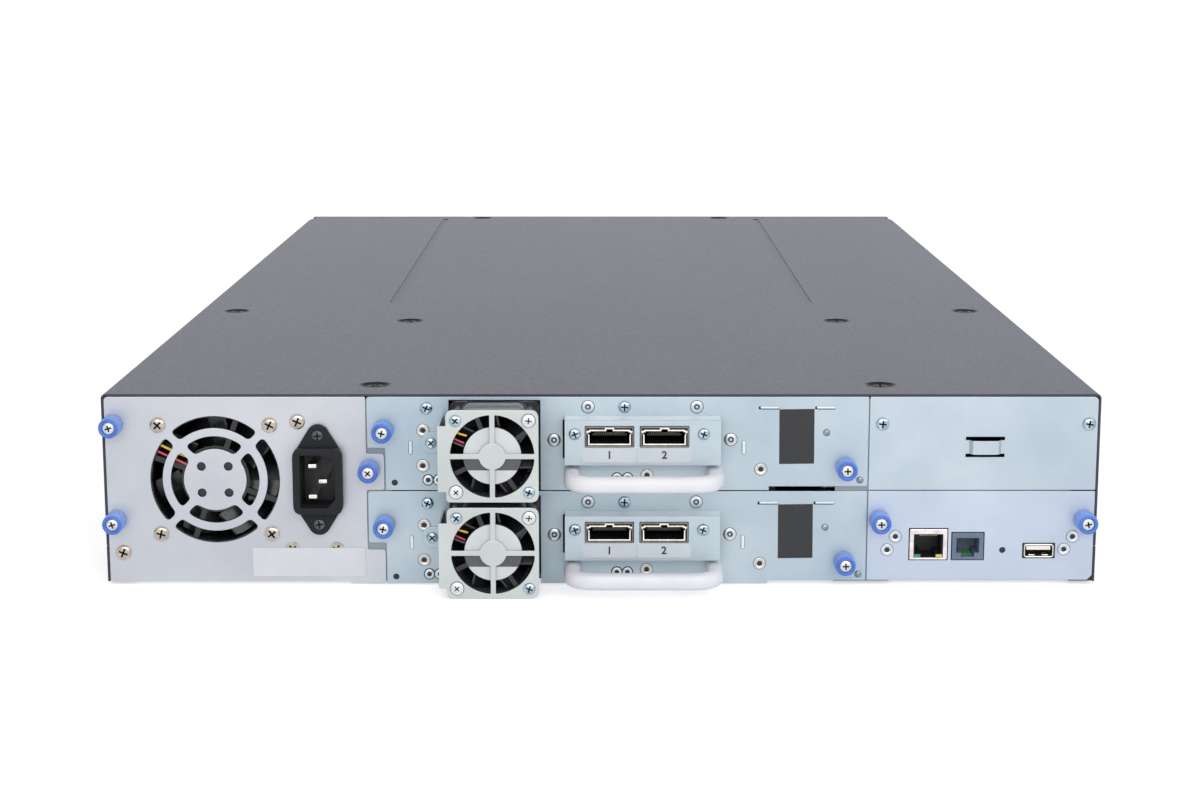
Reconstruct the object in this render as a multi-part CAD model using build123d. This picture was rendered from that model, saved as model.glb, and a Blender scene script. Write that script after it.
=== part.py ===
from build123d import *

import os
from math import cos, pi, sin

# Two-unit rack tape library, seen from its service side.
#
# A charcoal cover closes over a folded base pan. Two dividers split the rear into three bays: a power supply,
# two tape drive sleds one above the other, and a library controller under a blank plate. Each module slides out
# to the rear when its captive thumbscrews are undone. In front of the bays a picker travels along an aisle
# between two removable magazines, and the bezel in the middle of the front carries a display and buttons.
#
# Millimetres. +X is to the right as seen from the rear, +Y points from the rear panels to the front bezel,
# +Z is up. The origin is the middle of the base pan's underside.

# Whole chassis
width = 447.0  # across the cover's side flanges
height = 87.5  # two rack units less the clearance
length = 760.0  # rear panels to bezel, without the fans and pull handles
cover_t = 1.0
pan_t = 1.2
panel_t = 1.0  # rear panels of the modules
divider_t = 1.0
slip = 0.3  # clearance between parts that slide past each other
side_fit = 0.2  # cover flange to pan wall, each side
cover_skirt_z = 18.0  # lower edge of the cover's side flanges
skirt_gap = 0.5  # to the step in the pan's walls below it
bezel_t = 8.0

# Bays, as seen from the rear: power supply, drive sleds, controller
psu_bay_w = 122.8  # left side of the cover to the left divider
io_bay_w = 103.5  # right divider to the right side of the cover
bay_depth = 255.0
flange_w = 13.0  # rear flange of the left divider, centred on it
sled_flange_w = 14.7  # rear flange of the right divider on the sled side
io_flange_w = 10.5  # rear flange of the right divider on the controller side
wall_flange_w = 9.2  # rear flanges of the pan walls
seam = 1.2  # gap between the two sled panels
cover_bend = 2.0  # outer radius of the cover's bends
corner_cut = 1.6  # corner of a rear panel beside the cover's bend

# Flats that stand for a circle on small and repeated parts
hole_facets = 8
screw_facets = 8
shank_facets = 6
knob_facets = 16
core_facets = 10
dimple_facets = 12
ring_facets = 24

# Planes and edges that follow from them
rear = -length / 2
front = length / 2
panel_in = rear + panel_t
pan_x = width / 2 - cover_t - side_fit
wall_in = pan_x - pan_t
pan_front = front - bezel_t
cover_under = height - cover_t
panel_bottom = 0.3
panel_top = cover_under - 0.2
bay_front = rear + bay_depth
left_divider_x = -width / 2 + psu_bay_w
right_divider_x = width / 2 - io_bay_w
sled_panel_h = (panel_top - panel_bottom - seam) / 2
sled_pitch = sled_panel_h + seam

# Cover: recessed screws and two long beads over the aisle
dimple_r = 7.5
dimple_depth = 1.5
dimple_slope = 2.0
cover_screw_r = 2.0
cover_head_r = 4.0
cover_head_h = 1.3
cover_screw_len = 6.0
bead_x = 118.5
bead_w = 4.0
bead_depth = 0.4
bead_start = 285.0  # from the rear panels
bead_end = 735.0
setback = 7.0  # front edge of the lid over the magazines, behind its middle part
setback_x = 104.0
lid_corner = (6.0, 20.0)  # cut off each front corner of the lid, across and along
rear_screw_y = rear + 24.0
inner_screw_y = rear + 218.0
outer_screw_y = rear + 254.0
front_screw_edge = 0.6  # cover's front edge to the cup of its nearest screw
front_screw_y = pan_front - dimple_r - cover_t - front_screw_edge
dimple_under = height - dimple_depth - cover_t
flange_top = dimple_under  # top of every flange that a cover screw enters
outer_screw_x = 202.6
divider_screw_off = 7.5  # from a divider to the cover screw in its top flange

# Two holes in each side for a rack bracket
rail_hole_y = bay_front + 12.0
rail_hole_z = (25.0, 60.0)
rail_hole_r = 2.1

# Thumbscrews
thumb_r = 4.7
thumb_len = 10.5
thumb_core_r = 3.0
thumb_thread_r = 2.0
thumb_reach = 7.0
thumb_fit = 0.05
thumb_hole_r = thumb_thread_r + 0.2

# Small screws, plain: the drive recess and the thread are left out
screw_head_r = 3.2
screw_head_h = 1.6
screw_shank_r = 1.5
screw_len = 6.0
screw_hole_r = screw_shank_r + 0.15

# Drive sleds
sled_wall_t = 0.8
sled_len = 250.0
sled_wall_h = 38.0
sled_step_x = 44.0  # from the right edge, where the lower edge steps up
sled_step_h = 1.5
tab_w = 8.0
tab_bottom = 19.0  # lower edge of the sled's left tab, above its panel's lower edge
sled_thumb_left = (0.6, 27.6)  # left of the main panel edge, above the panel's lower edge
sled_thumb_right = (9.7, 10.5)  # left of the right panel edge, above the panel's lower edge
tray_lift = 1.2  # tray underside above the panel's lower edge
runner_w = 5.0  # runner under the edge of the upper sled's tray
drive_w = 146.0
drive_h = 40.0
drive_len = 200.0
drive_back = 40.0  # panel to drive
drive_off = 3.0  # centre of the drive, right of the middle of the sled body
mouth_w = 110.0
mouth_h = 24.0
mouth_depth = 60.0
mouth_off = 10.0  # middle of the mouth, left of the drive's middle
panel_screw_places = ((107.4, 37.8), (18.7, 37.3))  # from the main panel edge and the panel's lower edge
slot_u = (44.3, 19.1)  # two lifting slots, left of the right panel edge
slot_w = 9.2
slot_h = 1.2
slot_drop = 4.4  # below the panel's top
dot_place = (4.1, 3.1)
dot_r = 1.4

# Fan of a sled
fan_size = 40.0
fan_depth = 28.0
fan_proud = 24.0
fan_bore = 19.0
fan_hole_pitch = 32.0
fan_u = 49.2  # fan centre from the main panel edge
fan_v = 20.4  # fan centre above the panel's lower edge
fan_gap = 0.5  # fan to the notch in the panel
fan_hub_r = 12.6
fan_base_t = 2.0
grille_t = 1.0
grille_w = 40.6
grille_h = 41.2
grille_ring_r = 18.5
grille_hub_r = 5.9
grille_bar = 2.3
wing_w = 4.6
wing_low = 16.0
wing_high = 13.5
foot_w = 9.0
foot_h = 12.0
foot_screw_out = 3.6  # left of the wing's fold
foot_screw_v = 21.6
grille_round = 3.0
fan_flange_t = 3.4
fan_corner = 0.055  # cut off each corner of a fan's flange, of its width
fan_base_set = 0.6  # motor base behind the outer face
fan_post_r = 2.9
barrel_set = 0.2
strut_w = 2.4
strut_turn = 20.0
post_hole_r = 1.9
tip_gap = 0.6  # blade tips to the bore
hub_gap = 0.3  # hub's side behind the edge of the motor base
hub_set = 1.0  # rotor behind the frame's inner face
blade_count = 7
blade_skin = 0.9
blade_root = 1.2  # blade roots sunk in the hub
blade_steps = 4
blade_lean = 0.62
blade_lead = 2.2

# Interface bracket and pull handle of a sled
window_lap = 2.0  # panel behind the bracket's edges, round the window for the ports
sas_u = 115.4  # bracket centre from the main panel edge
sas_w = 69.4
sas_low = 13.4
sas_high = 33.8
sas_proud = 11.0
sas_t = 1.0
port_pitch = 24.4
port_off = -2.6  # middle of the two ports from the bracket's centre
port_v = 26.4
port_w = 21.4
port_h = 9.2
port_wall = 0.9
port_len = 26.0
port_proud = 0.4
port_fit = 0.2
port_back = 2.0
port_key = (2.0, 4.0, 1.2)  # block at the top of a mouth: width, length and height
tongue_side = 2.0
tongue_t = 1.2
tongue_set = 6.0  # contact tongue behind the mouth
sas_screw_left = 30.2
sas_screw_right = 27.0
sas_screw_v = 27.7
handle_w = 71.0
handle_v = 8.2
handle_off = 0.4  # middle of the handle, right of the bracket's
handle_proud = 31.0
handle_t = 7.3
handle_bend = 9.0
handle_chamfer = 2.1

# Power supply
psu_len = 225.0
psu_t = 1.0
psu_step_x = 8.0  # the lower edge steps down this far left of the bay edge
psu_step_h = 0.9
psu_gap = 4.7  # main panel edge left of the divider
low_tab_top = 15.7  # above the panel's lower edge
mid_tab_low = 43.3
mid_tab_top = 59.9
psu_fan_size = 60.0
psu_fan_depth = 25.0
psu_fan_bore = 28.5
psu_fan_pitch = 50.0
psu_fan_x = 50.0  # fan centre from the cover's side
psu_fan_z = 48.4
psu_hub_r = 15.0
psu_base_t = 2.5
psu_grille_out = (23.6, 29.1)
psu_grille_in = (14.1, 19.9)
psu_spoke = 4.4
slot_round = 1.0  # cut off the corners of the slots
hub_hole_pitch = 12.1
hub_hole_r = 2.0
psu_thumb_side = 5.0  # left thumbscrews from the cover's side
psu_thumb_high = 73.8
psu_thumb_low = 29.8
psu_thumb_mid = (3.2, 53.4)  # left of the divider, height
inlet_x = 96.7  # inlet centre from the cover's side
inlet_z = 48.7
inlet_w = 22.2
inlet_h = 30.4
inlet_ear = 20.3
inlet_ear_r = 5.0
inlet_flange_t = 2.6
inlet_rim = 4.0
socket_w = 15.4
socket_h = 24.0
socket_depth = 17.0
socket_chamfer = 3.6
blade_w = 4.0
blade_t = 2.0
blade_pitch = 14.0
blade_off = 2.3
blade_set = 1.5  # blade tips behind the rim
socket_wall = 1.7
inlet_fit = 2.0  # panel cut-out beyond the socket
inlet_chamfer = 2.4
socket_floor = 2.0
psu_vents = 8
psu_vent_pitch = 11.0
psu_vent_w = 5.0
psu_vent_edge = 12.0
cut_past = 0.5  # a cutter's reach behind a rear panel
psu_extra_screws = ((87.5, 75.0), (7.6, 14.7), (84.0, 17.0), (104.1, 17.0))  # from the cover's side, height

# Controller and blank plate
io_edge = 0.6  # panel edge right of the divider
io_bottom = 1.9
io_len = 150.0
io_thumb_left = (5.3, 30.0)  # right of the divider, height
io_thumb_right = (5.8, 30.0)  # left of the cover's side, height
board_t = 1.6
board_edge = 2.0  # board inside the tray's sides
board_start = 0.5
board_end = 4.0
foot_size = 6.0
foot_edge = 8.0  # middle of a foot from the board's end
chip_size = 30.0
chip_t = 3.0
chip_y = 70.0  # middle of the processor from the board's rear edge
fin_count = 7
fin_t = 1.0
fin_h = 9.0
switch_size = 6.0
switch_t = 5.0
board_z = 11.4  # top of the controller board
jack_x = (27.9, 45.7)  # ethernet and serial jacks, right of the divider
jack_w = (17.0, 14.2)
jack_h = (14.2, 12.4)
jack_len = (21.0, 16.0)
plug_w = (12.0, 10.2)
plug_h = (8.0, 7.0)
latch_w = (6.2, 6.0)
latch_h = (2.4, 2.0)
plug_depth = 13.0
jack_proud = 0.3
jack_sill = 1.6  # wall under a jack's latch notch
usb_x = 77.8
usb_w = 13.4
usb_h = 6.2
usb_len = 14.0
usb_wall = 0.5
usb_proud = 0.5
usb_back = 1.5
usb_tongue_t = 1.8
usb_z = 15.6
cutout_gap = 0.4
reset_x = 61.4
reset_z = 15.8
reset_r = 1.3
reset_fit = 0.1
reset_len = 6.0
reset_set = 0.4  # end of the button behind the panel's face
reset_gap = 0.6  # button to its switch, more than its travel
blank_edge_z = 43.7
plate_screw_z = 74.0
plate_screw_left = 6.0
plate_screw_right = 5.1
shelf_t = 0.8
bridge_w = 17.5
bridge_h = 9.3
bridge_strip = 6.2
bridge_rise = 2.4
bridge_ramp = 2.8
bridge_x = 52.2  # middle of the bridge, right of the divider
bridge_z = 63.4

# Magazines: four columns of three cartridge places each
mag_len = 455.0
mag_w = 114.0
mag_wall = 2.0
mag_floor = 5.5
mag_h = 82.0
mag_columns = 4
mag_levels = 3
ledge_w = 2.8
ledge_t = 1.5
mag_front_gap = 1.0
front_top = 86.8
front_bottom = 0.8
grip_w = 60.0
grip_h = 16.0
grip_depth = 5.0
grip_z = 24.0
mail_h = 23.0
mail_wall = 1.5
guide_h = 6.0
guide_t = 1.2
guide_gap = 1.6  # magazine to the lip that guides it
aisle_x = wall_in - slip - mag_w - guide_gap - guide_t  # half the aisle between the guide lips

# Front frame and operator panel
frame_t = 1.2
frame_depth = 16.0
bezel_lap = 3.4  # the doors lap over the magazine guides by this
bezel_x = aisle_x - bezel_lap
bezel_wall = 2.5
window_w = 64.0
window_h = 24.0
window_z = 58.0
window_fit = 0.1
window_set = 0.5  # glass behind the bezel's face
display_rim = 3.0
key_w = 11.0
key_h = 7.0
key_z = 34.0
key_pitch = 17.0
key_len = 7.0
key_proud = 1.0
key_gap = 0.3
power_x = bezel_x - 38.6
vent_count = 9
vent_w = 14.0
vent_h = 3.0
vent_pitch = 7.5

front_screw_x = bezel_x - 9.9

# Picker: a carriage on two rails, one of them a rack, with a turntable and a lift cradle
rail_foot = 12.0  # from a guide lip to the inner face of its rail
rail_x = aisle_x - rail_foot
rail_h = 9.0
rail_t = 2.0
rail_foot_t = 1.0
rack_module = 1.5
rack_depth = 2.6
rack_h = 5.0
rack_lift = 3.4  # underside of the rack's teeth above the pan
backlash = 0.5
pinion_teeth = 14
pinion_bore = 2.0
pinion_gap = 0.35  # added to the centre distance
carriage_len = 130.0
carriage_t = 2.0
motor_w = 16.0
motor_h = 30.0
turn_gap = 44.0  # turntable's rim to a magazine guide
turn_r = aisle_x - turn_gap
turn_t = 1.8
turn_pin_r = 8.0
pin_fit = 0.1
cradle_gap = 46.0  # side of the cradle to a magazine guide
cradle_w = 2 * (aisle_x - cradle_gap)
cradle_len = cradle_w - 4.0
cradle_wall = 2.0
cradle_floor = 1.0
cradle_h = 26.0
post_w = 10.0
post_t = 3.0
picker_start = 45.0  # bay front to the rear end of the parked carriage
rail_back = 20.0  # bay front to the rear end of the rails
rail_front = 22.0  # front end of the rails to the front of the pan


def block(x0, x1, y0, y1, z0, z1):
    """Rectangular solid between two opposite corners, given in any order."""
    size = (abs(x1 - x0), abs(y1 - y0), abs(z1 - z0))
    return Pos((x0 + x1) / 2, (y0 + y1) / 2, (z0 + z1) / 2) * Box(*size)


def rod(x, z, y0, y1, r):
    """Cylinder along Y."""
    return Pos(x, (y0 + y1) / 2, z) * Rot(90, 0, 0) * Cylinder(r, abs(y1 - y0))


def pillar(x, y, z0, z1, r):
    """Cylinder along Z."""
    return Pos(x, y, (z0 + z1) / 2) * Cylinder(r, abs(z1 - z0))


def crosswise(x0, x1, y, z, r):
    """Cylinder along X."""
    return Pos((x0 + x1) / 2, y, z) * Rot(0, 90, 0) * Cylinder(r, abs(x1 - x0))


def upright(face, y0, y1):
    """Extrudes a face drawn in X and Z from y0 to y1."""
    return Pos(0, y1, 0) * extrude(Plane.XZ * face, y1 - y0)


def outline(points):
    """Flat face through a ring of points."""
    return Polygon(*points, align=None)


def flats(r, sides=hole_facets):
    """Regular polygon drawn round a circle of radius r."""
    return RegularPolygon(r, sides, major_radius=False)


def hole(x, z, y0, y1, r):
    """Cutter for a small hole along Y."""
    return Pos(x, 0, z) * upright(flats(r), y0, y1)


def screw_pit(x, y):
    """Cutter for a cover screw's hole down through the lid and the flange below it."""
    return Pos(x, y, height - cover_screw_len) * extrude(flats(cover_screw_r + side_fit), cover_screw_len)


def cup(r):
    """Tapered recess round a cover screw, its wide end up at z 0."""
    low = Pos(0, 0, -dimple_depth) * RegularPolygon(r - dimple_slope, dimple_facets)
    return loft([low, RegularPolygon(r, dimple_facets)], ruled=True)


def screw(x, z, y):
    """Screw driven towards +Y whose head sits on a face at y."""
    head = upright(RegularPolygon(screw_head_r, screw_facets), y - screw_head_h, y)
    shank = upright(RegularPolygon(screw_shank_r, shank_facets), y, y + screw_len)
    return Pos(x, 0, z) * (head + shank)


def thumbscrew(x, z):
    """Captive thumbscrew on a rear panel: a fluted knob pressed on a steel screw."""
    out = rear - slip - thumb_len
    core_face = RegularPolygon(thumb_core_r, core_facets)
    ring = RegularPolygon(thumb_r, knob_facets) - RegularPolygon(thumb_core_r + thumb_fit, core_facets)
    knob = Pos(x, 0, z) * upright(ring, out, rear - slip)
    core = Pos(x, 0, z) * upright(core_face, out, rear - slip)
    thread = rod(x, z, rear - slip, panel_in + thumb_reach, thumb_thread_r)
    return Compound(children=[knob, core + thread])


def cover_screw_points():
    """Places of the cover's recessed screws, in X and Y."""
    left = left_divider_x - divider_screw_off + 5.0
    right = right_divider_x + divider_screw_off
    points = [(left, rear_screw_y), (right, rear_screw_y)]
    points += [(left, inner_screw_y), (right, inner_screw_y)]
    points += [(side * outer_screw_x, outer_screw_y) for side in (-1, 1)]
    points += [(side * front_screw_x, front_screw_y) for side in (-1, 1)]
    return points


def rail_hole_cuts(side):
    """Two holes through the cover's flange, for a rack bracket."""
    x = side * width / 2
    return [crosswise(x - 2 * side * cover_t, x + side, rail_hole_y, z, rail_hole_r) for z in rail_hole_z]


def bracket_hole_cuts(side):
    """The same two holes through the pan's wall."""
    drill = Rot(0, 90, 0) * extrude(flats(rail_hole_r), 4 * pan_t, both=True)
    return [Pos(side * wall_in, rail_hole_y, z) * drill for z in rail_hole_z]


def pan_section():
    """Folded section of the pan in X and Z: the floor, and side walls that step in under the cover's flanges."""
    step_top = cover_skirt_z - skirt_gap
    right = [(width / 2, 0), (width / 2, step_top), (pan_x, step_top), (pan_x, flange_top)]
    right += [(wall_in, flange_top), (wall_in, pan_t)]
    left = [(-x, z) for x, z in reversed(right)]
    return outline(right + left)


def base_pan():
    """Folded pan: floor and side walls, with rear flanges for the modules' screws and two tabs for the cover's."""
    pan = upright(pan_section(), panel_in, pan_front)
    for side in (-1, 1):
        outer = side * pan_x
        lip = side * (pan_x - wall_flange_w - pan_t)
        pan += block(side * width / 2, side * (pan_x + side_fit), rear, panel_in, 0, cover_skirt_z - skirt_gap)
        pan += block(outer, lip, panel_in, panel_in + pan_t, 0, flange_top)
        tab_end = side * (outer_screw_x - dimple_r)
        near = outer_screw_y - dimple_r
        pan += block(side * wall_in, tab_end, near, near + 2 * dimple_r, flange_top - pan_t, flange_top)
        pan -= screw_pit(side * outer_screw_x, outer_screw_y)
        pan -= bracket_hole_cuts(side)
    flange_end = panel_in + 2 * pan_t
    for x, z in psu_thumb_points()[:2] + io_thumb_points()[1:]:
        pan -= hole(x, z, rear, flange_end, thumb_hole_r)
    for x, z in plate_screw_points()[1:] + psu_extra_points()[1:2]:
        pan -= hole(x, z, rear, flange_end, screw_hole_r)
    fan_x, _ = fan_centre(panel_bottom)
    half = fan_size / 2 + fan_gap
    fan_end = rear - fan_proud + fan_depth + fan_gap
    return pan - block(fan_x - half, fan_x + half, rear, fan_end, -pan_t, 2 * pan_t)


def cover_section():
    """Section of the cover in X and Z: the lid and a flange bent down at each side."""
    half = width / 2
    inside = half - cover_t
    low = cover_skirt_z
    outer = outline([(-half, low), (half, low), (half, height), (-half, height)])
    outer = fillet([v for v in outer.vertices() if v.Y > low + cover_t], cover_bend)
    inner = outline([(-inside, low), (inside, low), (inside, cover_under), (-inside, cover_under)])
    inner = fillet([v for v in inner.vertices() if v.Y > low + cover_t], cover_bend - cover_t)
    return outer - inner


def top_cover():
    """Cover with two side flanges, recessed screw cups, two pressed beads and a stepped front edge."""
    cover = upright(cover_section(), rear, pan_front)
    half = width / 2
    lid_low = cover_under - cover_bend
    for x, y in cover_screw_points():
        cover += Pos(x, y, cover_under) * cup(dimple_r + cover_t)
    for x, y in cover_screw_points():
        cover -= Pos(x, y, height) * cup(dimple_r)
        cover -= screw_pit(x, y)
    start = rear + bead_start
    end = rear + bead_end
    tip = bead_w / 2
    bead = outline([(0, start), (tip, start + tip), (tip, end - tip), (0, end), (-tip, end - tip), (-tip, start + tip)])
    across, along = lid_corner
    for side in (-1, 1):
        cover -= Pos(side * bead_x, 0, height - bead_depth) * extrude(bead, bead_w)
        cover -= block(side * setback_x, side * (half + 1), pan_front - setback, pan_front + 1, lid_low, height + 1)
        tip_y = pan_front - setback
        corner = outline([(side * (half + 1), tip_y), (side * (half - across), tip_y), (side * (half + 1), tip_y - along)])
        cover -= Pos(0, 0, lid_low) * extrude(corner, 2 * cover_bend + 1, dir=(0, 0, 1))
        cover -= rail_hole_cuts(side)
    return cover


def left_divider():
    """Wall between the power supply and the sleds, with rear and top flanges and a sled runner."""
    x = left_divider_x
    near = x - divider_t / 2
    far = x + divider_t / 2
    wall = block(near, far, panel_in, bay_front, pan_t, flange_top)
    wall += block(x - flange_w / 2, x + flange_w / 2, panel_in, panel_in + pan_t, pan_t, flange_top)
    top_end = cover_screw_points()[0][0] - dimple_r + 2
    for y in (rear_screw_y, inner_screw_y):
        wall += block(far, top_end, y - dimple_r, y + dimple_r, flange_top - divider_t, flange_top)
    runner_end = sled_body()[0] + runner_w
    wall += block(far, runner_end, panel_in + 4, bay_front, runner_z() - divider_t, runner_z())
    flange_end = panel_in + 2 * pan_t
    wall -= [hole(*sled_thumb_points(z)[0], rear, flange_end, thumb_hole_r) for z in sled_bottoms()]
    wall -= hole(*psu_thumb_points()[2], rear, flange_end, thumb_hole_r)
    return wall - [screw_pit(x, y) for x, y in cover_screw_points()[:4:2]]


def right_divider():
    """Wall between the sleds and the controller, with flanges, a sled runner and a shelf."""
    x = right_divider_x
    near = x - divider_t / 2
    far = x + divider_t / 2
    wall = block(near, far, panel_in, bay_front, pan_t, flange_top)
    sled_lip = x - sled_flange_w
    io_lip = x + io_flange_w
    wall += block(sled_lip, io_lip, panel_in, panel_in + pan_t, pan_t, flange_top)
    for y in (rear_screw_y, inner_screw_y):
        end = cover_screw_points()[1][0] + dimple_r
        wall += block(near, end, y - dimple_r, y + dimple_r, flange_top - divider_t, flange_top)
    runner_end = sled_body()[1] - runner_w
    wall += block(near, runner_end, panel_in + 4, bay_front, runner_z() - divider_t, runner_z())
    shelf_top = blank_edge_z
    wall += block(far, wall_in - slip, panel_in, panel_in + io_len, shelf_top - shelf_t, shelf_top)
    flange_end = panel_in + 2 * pan_t
    wall -= [hole(*sled_thumb_points(z)[1], rear, flange_end, thumb_hole_r) for z in sled_bottoms()]
    wall -= hole(*io_thumb_points()[0], rear, flange_end, thumb_hole_r)
    wall -= hole(*plate_screw_points()[0], rear, flange_end, screw_hole_r)
    wall -= [screw_pit(x, y) for x, y in cover_screw_points()[1:4:2]]
    shelf_notch = wall_in - wall_flange_w - slip
    wall -= block(shelf_notch, pan_x, rear, flange_end, shelf_top - 2 * shelf_t, shelf_top + shelf_t)
    return wall


def plate_screw_points():
    """Screws of the blank plate, in X and Z."""
    return [
        (right_divider_x + plate_screw_left, plate_screw_z),
        (width / 2 - plate_screw_right, plate_screw_z),
    ]


def blank_plate():
    """Plate over the unused bay, with a lanced bridge to pull it by."""
    left = right_divider_x + io_edge
    points = [(left, blank_edge_z), (pan_x, blank_edge_z), (pan_x, panel_top - corner_cut)]
    points += [(pan_x - corner_cut, panel_top), (left, panel_top)]
    plate = upright(outline(points), rear, panel_in)
    plate -= [hole(x, z, rear - 1, panel_in + 1, screw_hole_r) for x, z in plate_screw_points()]
    middle = right_divider_x + bridge_x
    x0 = middle - bridge_w / 2
    x1 = middle + bridge_w / 2
    plate -= block(x0, x1, rear - 1, panel_in + 1, bridge_z - bridge_h / 2, bridge_z + bridge_h / 2)
    out = rear - bridge_rise
    inner = [(x1, panel_in), (x1 - bridge_ramp, out + panel_t), (x0 + bridge_ramp, out + panel_t)]
    outer = [(x0, panel_in), (x0, rear), (x0 + bridge_ramp, out), (x1 - bridge_ramp, out), (x1, rear)]
    strip = extrude(outline(inner + outer), bridge_strip, dir=(0, 0, 1))
    return plate + Pos(0, 0, bridge_z - bridge_strip / 2) * strip


def chassis_screws():
    """Cover screws, and the two screws of the blank plate."""
    found = []
    seat = dimple_under + cover_t
    for x, y in cover_screw_points():
        head = extrude(RegularPolygon(cover_head_r, screw_facets), cover_head_h)
        shank = extrude(RegularPolygon(cover_screw_r, shank_facets), -cover_screw_len)
        found.append(Pos(x, y, seat) * (head + shank))
    found += [screw(x, z, rear) for x, z in plate_screw_points()]
    return Compound(children=found)


def front_frame():
    """Portal at the front of the aisle that carries the bezel and the cover's front screws."""
    back = pan_front - frame_depth
    inner = aisle_x - frame_t - slip
    bar = block(-inner, inner, back, pan_front, flange_top - frame_t, flange_top)
    for side in (-1, 1):
        edge = side * inner
        bar += block(edge, edge - side * frame_t, back, pan_front, pan_t, flange_top)
        bar -= screw_pit(side * front_screw_x, front_screw_y)
    return bar


def front_bezel():
    """Moulded centre of the front: window recess, key holes and cooling slots."""
    body = block(-bezel_x, bezel_x, pan_front, front, front_bottom, front_top)
    body -= block(
        -bezel_x + bezel_wall,
        bezel_x - bezel_wall,
        pan_front - 1,
        front - bezel_wall,
        front_bottom + bezel_wall,
        front_top - bezel_wall,
    )
    low = window_z - window_h / 2
    body -= block(-window_w / 2, window_w / 2, pan_front, front + 1, low, low + window_h)
    for x in key_centres() + [power_x]:
        hole_w = key_w / 2 + key_gap
        hole_h = key_h / 2 + key_gap
        body -= block(x - hole_w, x + hole_w, pan_front, front + 1, key_z - hole_h, key_z + hole_h)
    for side in (-1, 1):
        for i in range(vent_count):
            z = front_bottom + 12 + i * vent_pitch
            x = side * (bezel_x - 14)
            body -= block(x - vent_w / 2, x + vent_w / 2, pan_front, front + 1, z, z + vent_h)
    return body


def operator_display():
    """Glass in the bezel's window, the display behind it and the board behind the keys."""
    x = window_w / 2 - window_fit
    z = window_h / 2 - window_fit
    glass = block(-x, x, front - bezel_wall, front - window_set, window_z - z, window_z + z)
    wide = x + display_rim
    tall = z + display_rim
    board = block(-wide, wide, pan_front, front - bezel_wall, window_z - tall, window_z + tall)
    key_left = key_centres()[0] - key_w
    board += block(key_left, power_x + key_w, pan_front, pan_front + board_t / 2, key_z - key_h, window_z)
    return Compound(children=[glass, board])


def key_centres():
    """X of the four menu keys under the display."""
    return [(i - 1.5) * key_pitch for i in range(4)]


def key(x):
    """Push key: a cap through the bezel, with a flange behind it."""
    cap = block(
        x - key_w / 2,
        x + key_w / 2,
        front + key_proud - key_len,
        front + key_proud,
        key_z - key_h / 2,
        key_z + key_h / 2,
    )
    inner = front - bezel_wall - slip
    flange = block(
        x - key_w / 2 - 1.2, x + key_w / 2 + 1.2, inner - 1.2, inner, key_z - key_h / 2 - 1.2, key_z + key_h / 2 + 1.2
    )
    return cap + flange


def sled_bottoms():
    """Lower edges of the lower and the upper sled panel."""
    return [panel_bottom, panel_bottom + sled_pitch]


def sled_left():
    """Main left edge of a sled panel."""
    return left_divider_x + psu_gap - io_edge - 0.3


def sled_right():
    """Right edge of a sled panel."""
    return right_divider_x - io_edge


def sled_body():
    """Left and right side of a sled's tray, clear of the dividers' rear flanges."""
    return left_divider_x + flange_w / 2 + 0.4, right_divider_x - sled_flange_w - 0.4


def runner_z():
    """Top of the runners that carry the upper sled."""
    return panel_bottom + sled_pitch + tray_lift - slip


def sled_thumb_points(z0):
    """Left and right thumbscrew of a sled whose panel's lower edge is at z0."""
    left = (sled_left() - sled_thumb_left[0], z0 + sled_thumb_left[1])
    right = (sled_right() - sled_thumb_right[0], z0 + sled_thumb_right[1])
    return [left, right]


def fan_centre(z0):
    """Fan axis of a sled."""
    return sled_left() + fan_u, z0 + fan_v


def port_centres(z0):
    """Axes of the two interface ports of a sled."""
    middle = sled_left() + sas_u + port_off
    return [(middle + side * port_pitch / 2, z0 + port_v) for side in (-1, 1)]


def sled_case(z0):
    """Sled of folded sheet: rear panel, tray and side walls, notched for the fan."""
    left = sled_left()
    right = sled_right()
    step_x = right - sled_step_x
    top = z0 + sled_panel_h
    tab = left - tab_w
    points = [(left, z0), (step_x, z0), (step_x, z0 + sled_step_h), (right, z0 + sled_step_h)]
    points += [(right, top), (tab, top), (tab, z0 + tab_bottom), (left, z0 + tab_bottom)]
    case = upright(outline(points), rear, panel_in)
    x0, x1 = sled_body()
    tray = z0 + tray_lift
    end = panel_in + sled_len
    case += block(x0, x1, rear + panel_t / 2, end, tray, tray + sled_wall_t)
    for side in (x0, x1 - sled_wall_t):
        case += block(side, side + sled_wall_t, rear + panel_t / 2, end, tray, tray + sled_wall_h)
    fan_x, fan_z = fan_centre(z0)
    half = fan_size / 2 + fan_gap
    case -= block(fan_x - half, fan_x + half, rear - 1, panel_in + 6, z0 - 1, fan_z + half)
    sas_x = left + sas_u
    half = sas_w / 2 - window_lap
    low = z0 + sas_low + window_lap
    case -= block(sas_x - half, sas_x + half, rear - 1, panel_in + 1, low, z0 + sas_high - window_lap)
    case -= [hole(x, z, rear - 1, panel_in + 1, thumb_hole_r) for x, z in sled_thumb_points(z0)]
    case -= [hole(x, z, rear - 1, panel_in + 1, screw_hole_r) for x, z in panel_screw_points(z0)]
    for u in slot_u:
        x = right - u
        slot_z = top - slot_drop
        case -= block(x - slot_w / 2, x + slot_w / 2, rear - 1, panel_in + 1, slot_z - slot_h, slot_z)
    dot_x, dot_z = dot_place
    return case - hole(left + dot_x, z0 + dot_z, rear - 1, panel_in + 1, dot_r)


def panel_screw_points(z0):
    """Screws on a sled's panel: above the bracket, at the top left, and in the fan guard's foot."""
    return [(sled_left() + u, z0 + v) for u, v in panel_screw_places] + [foot_screw(z0)]


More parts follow.
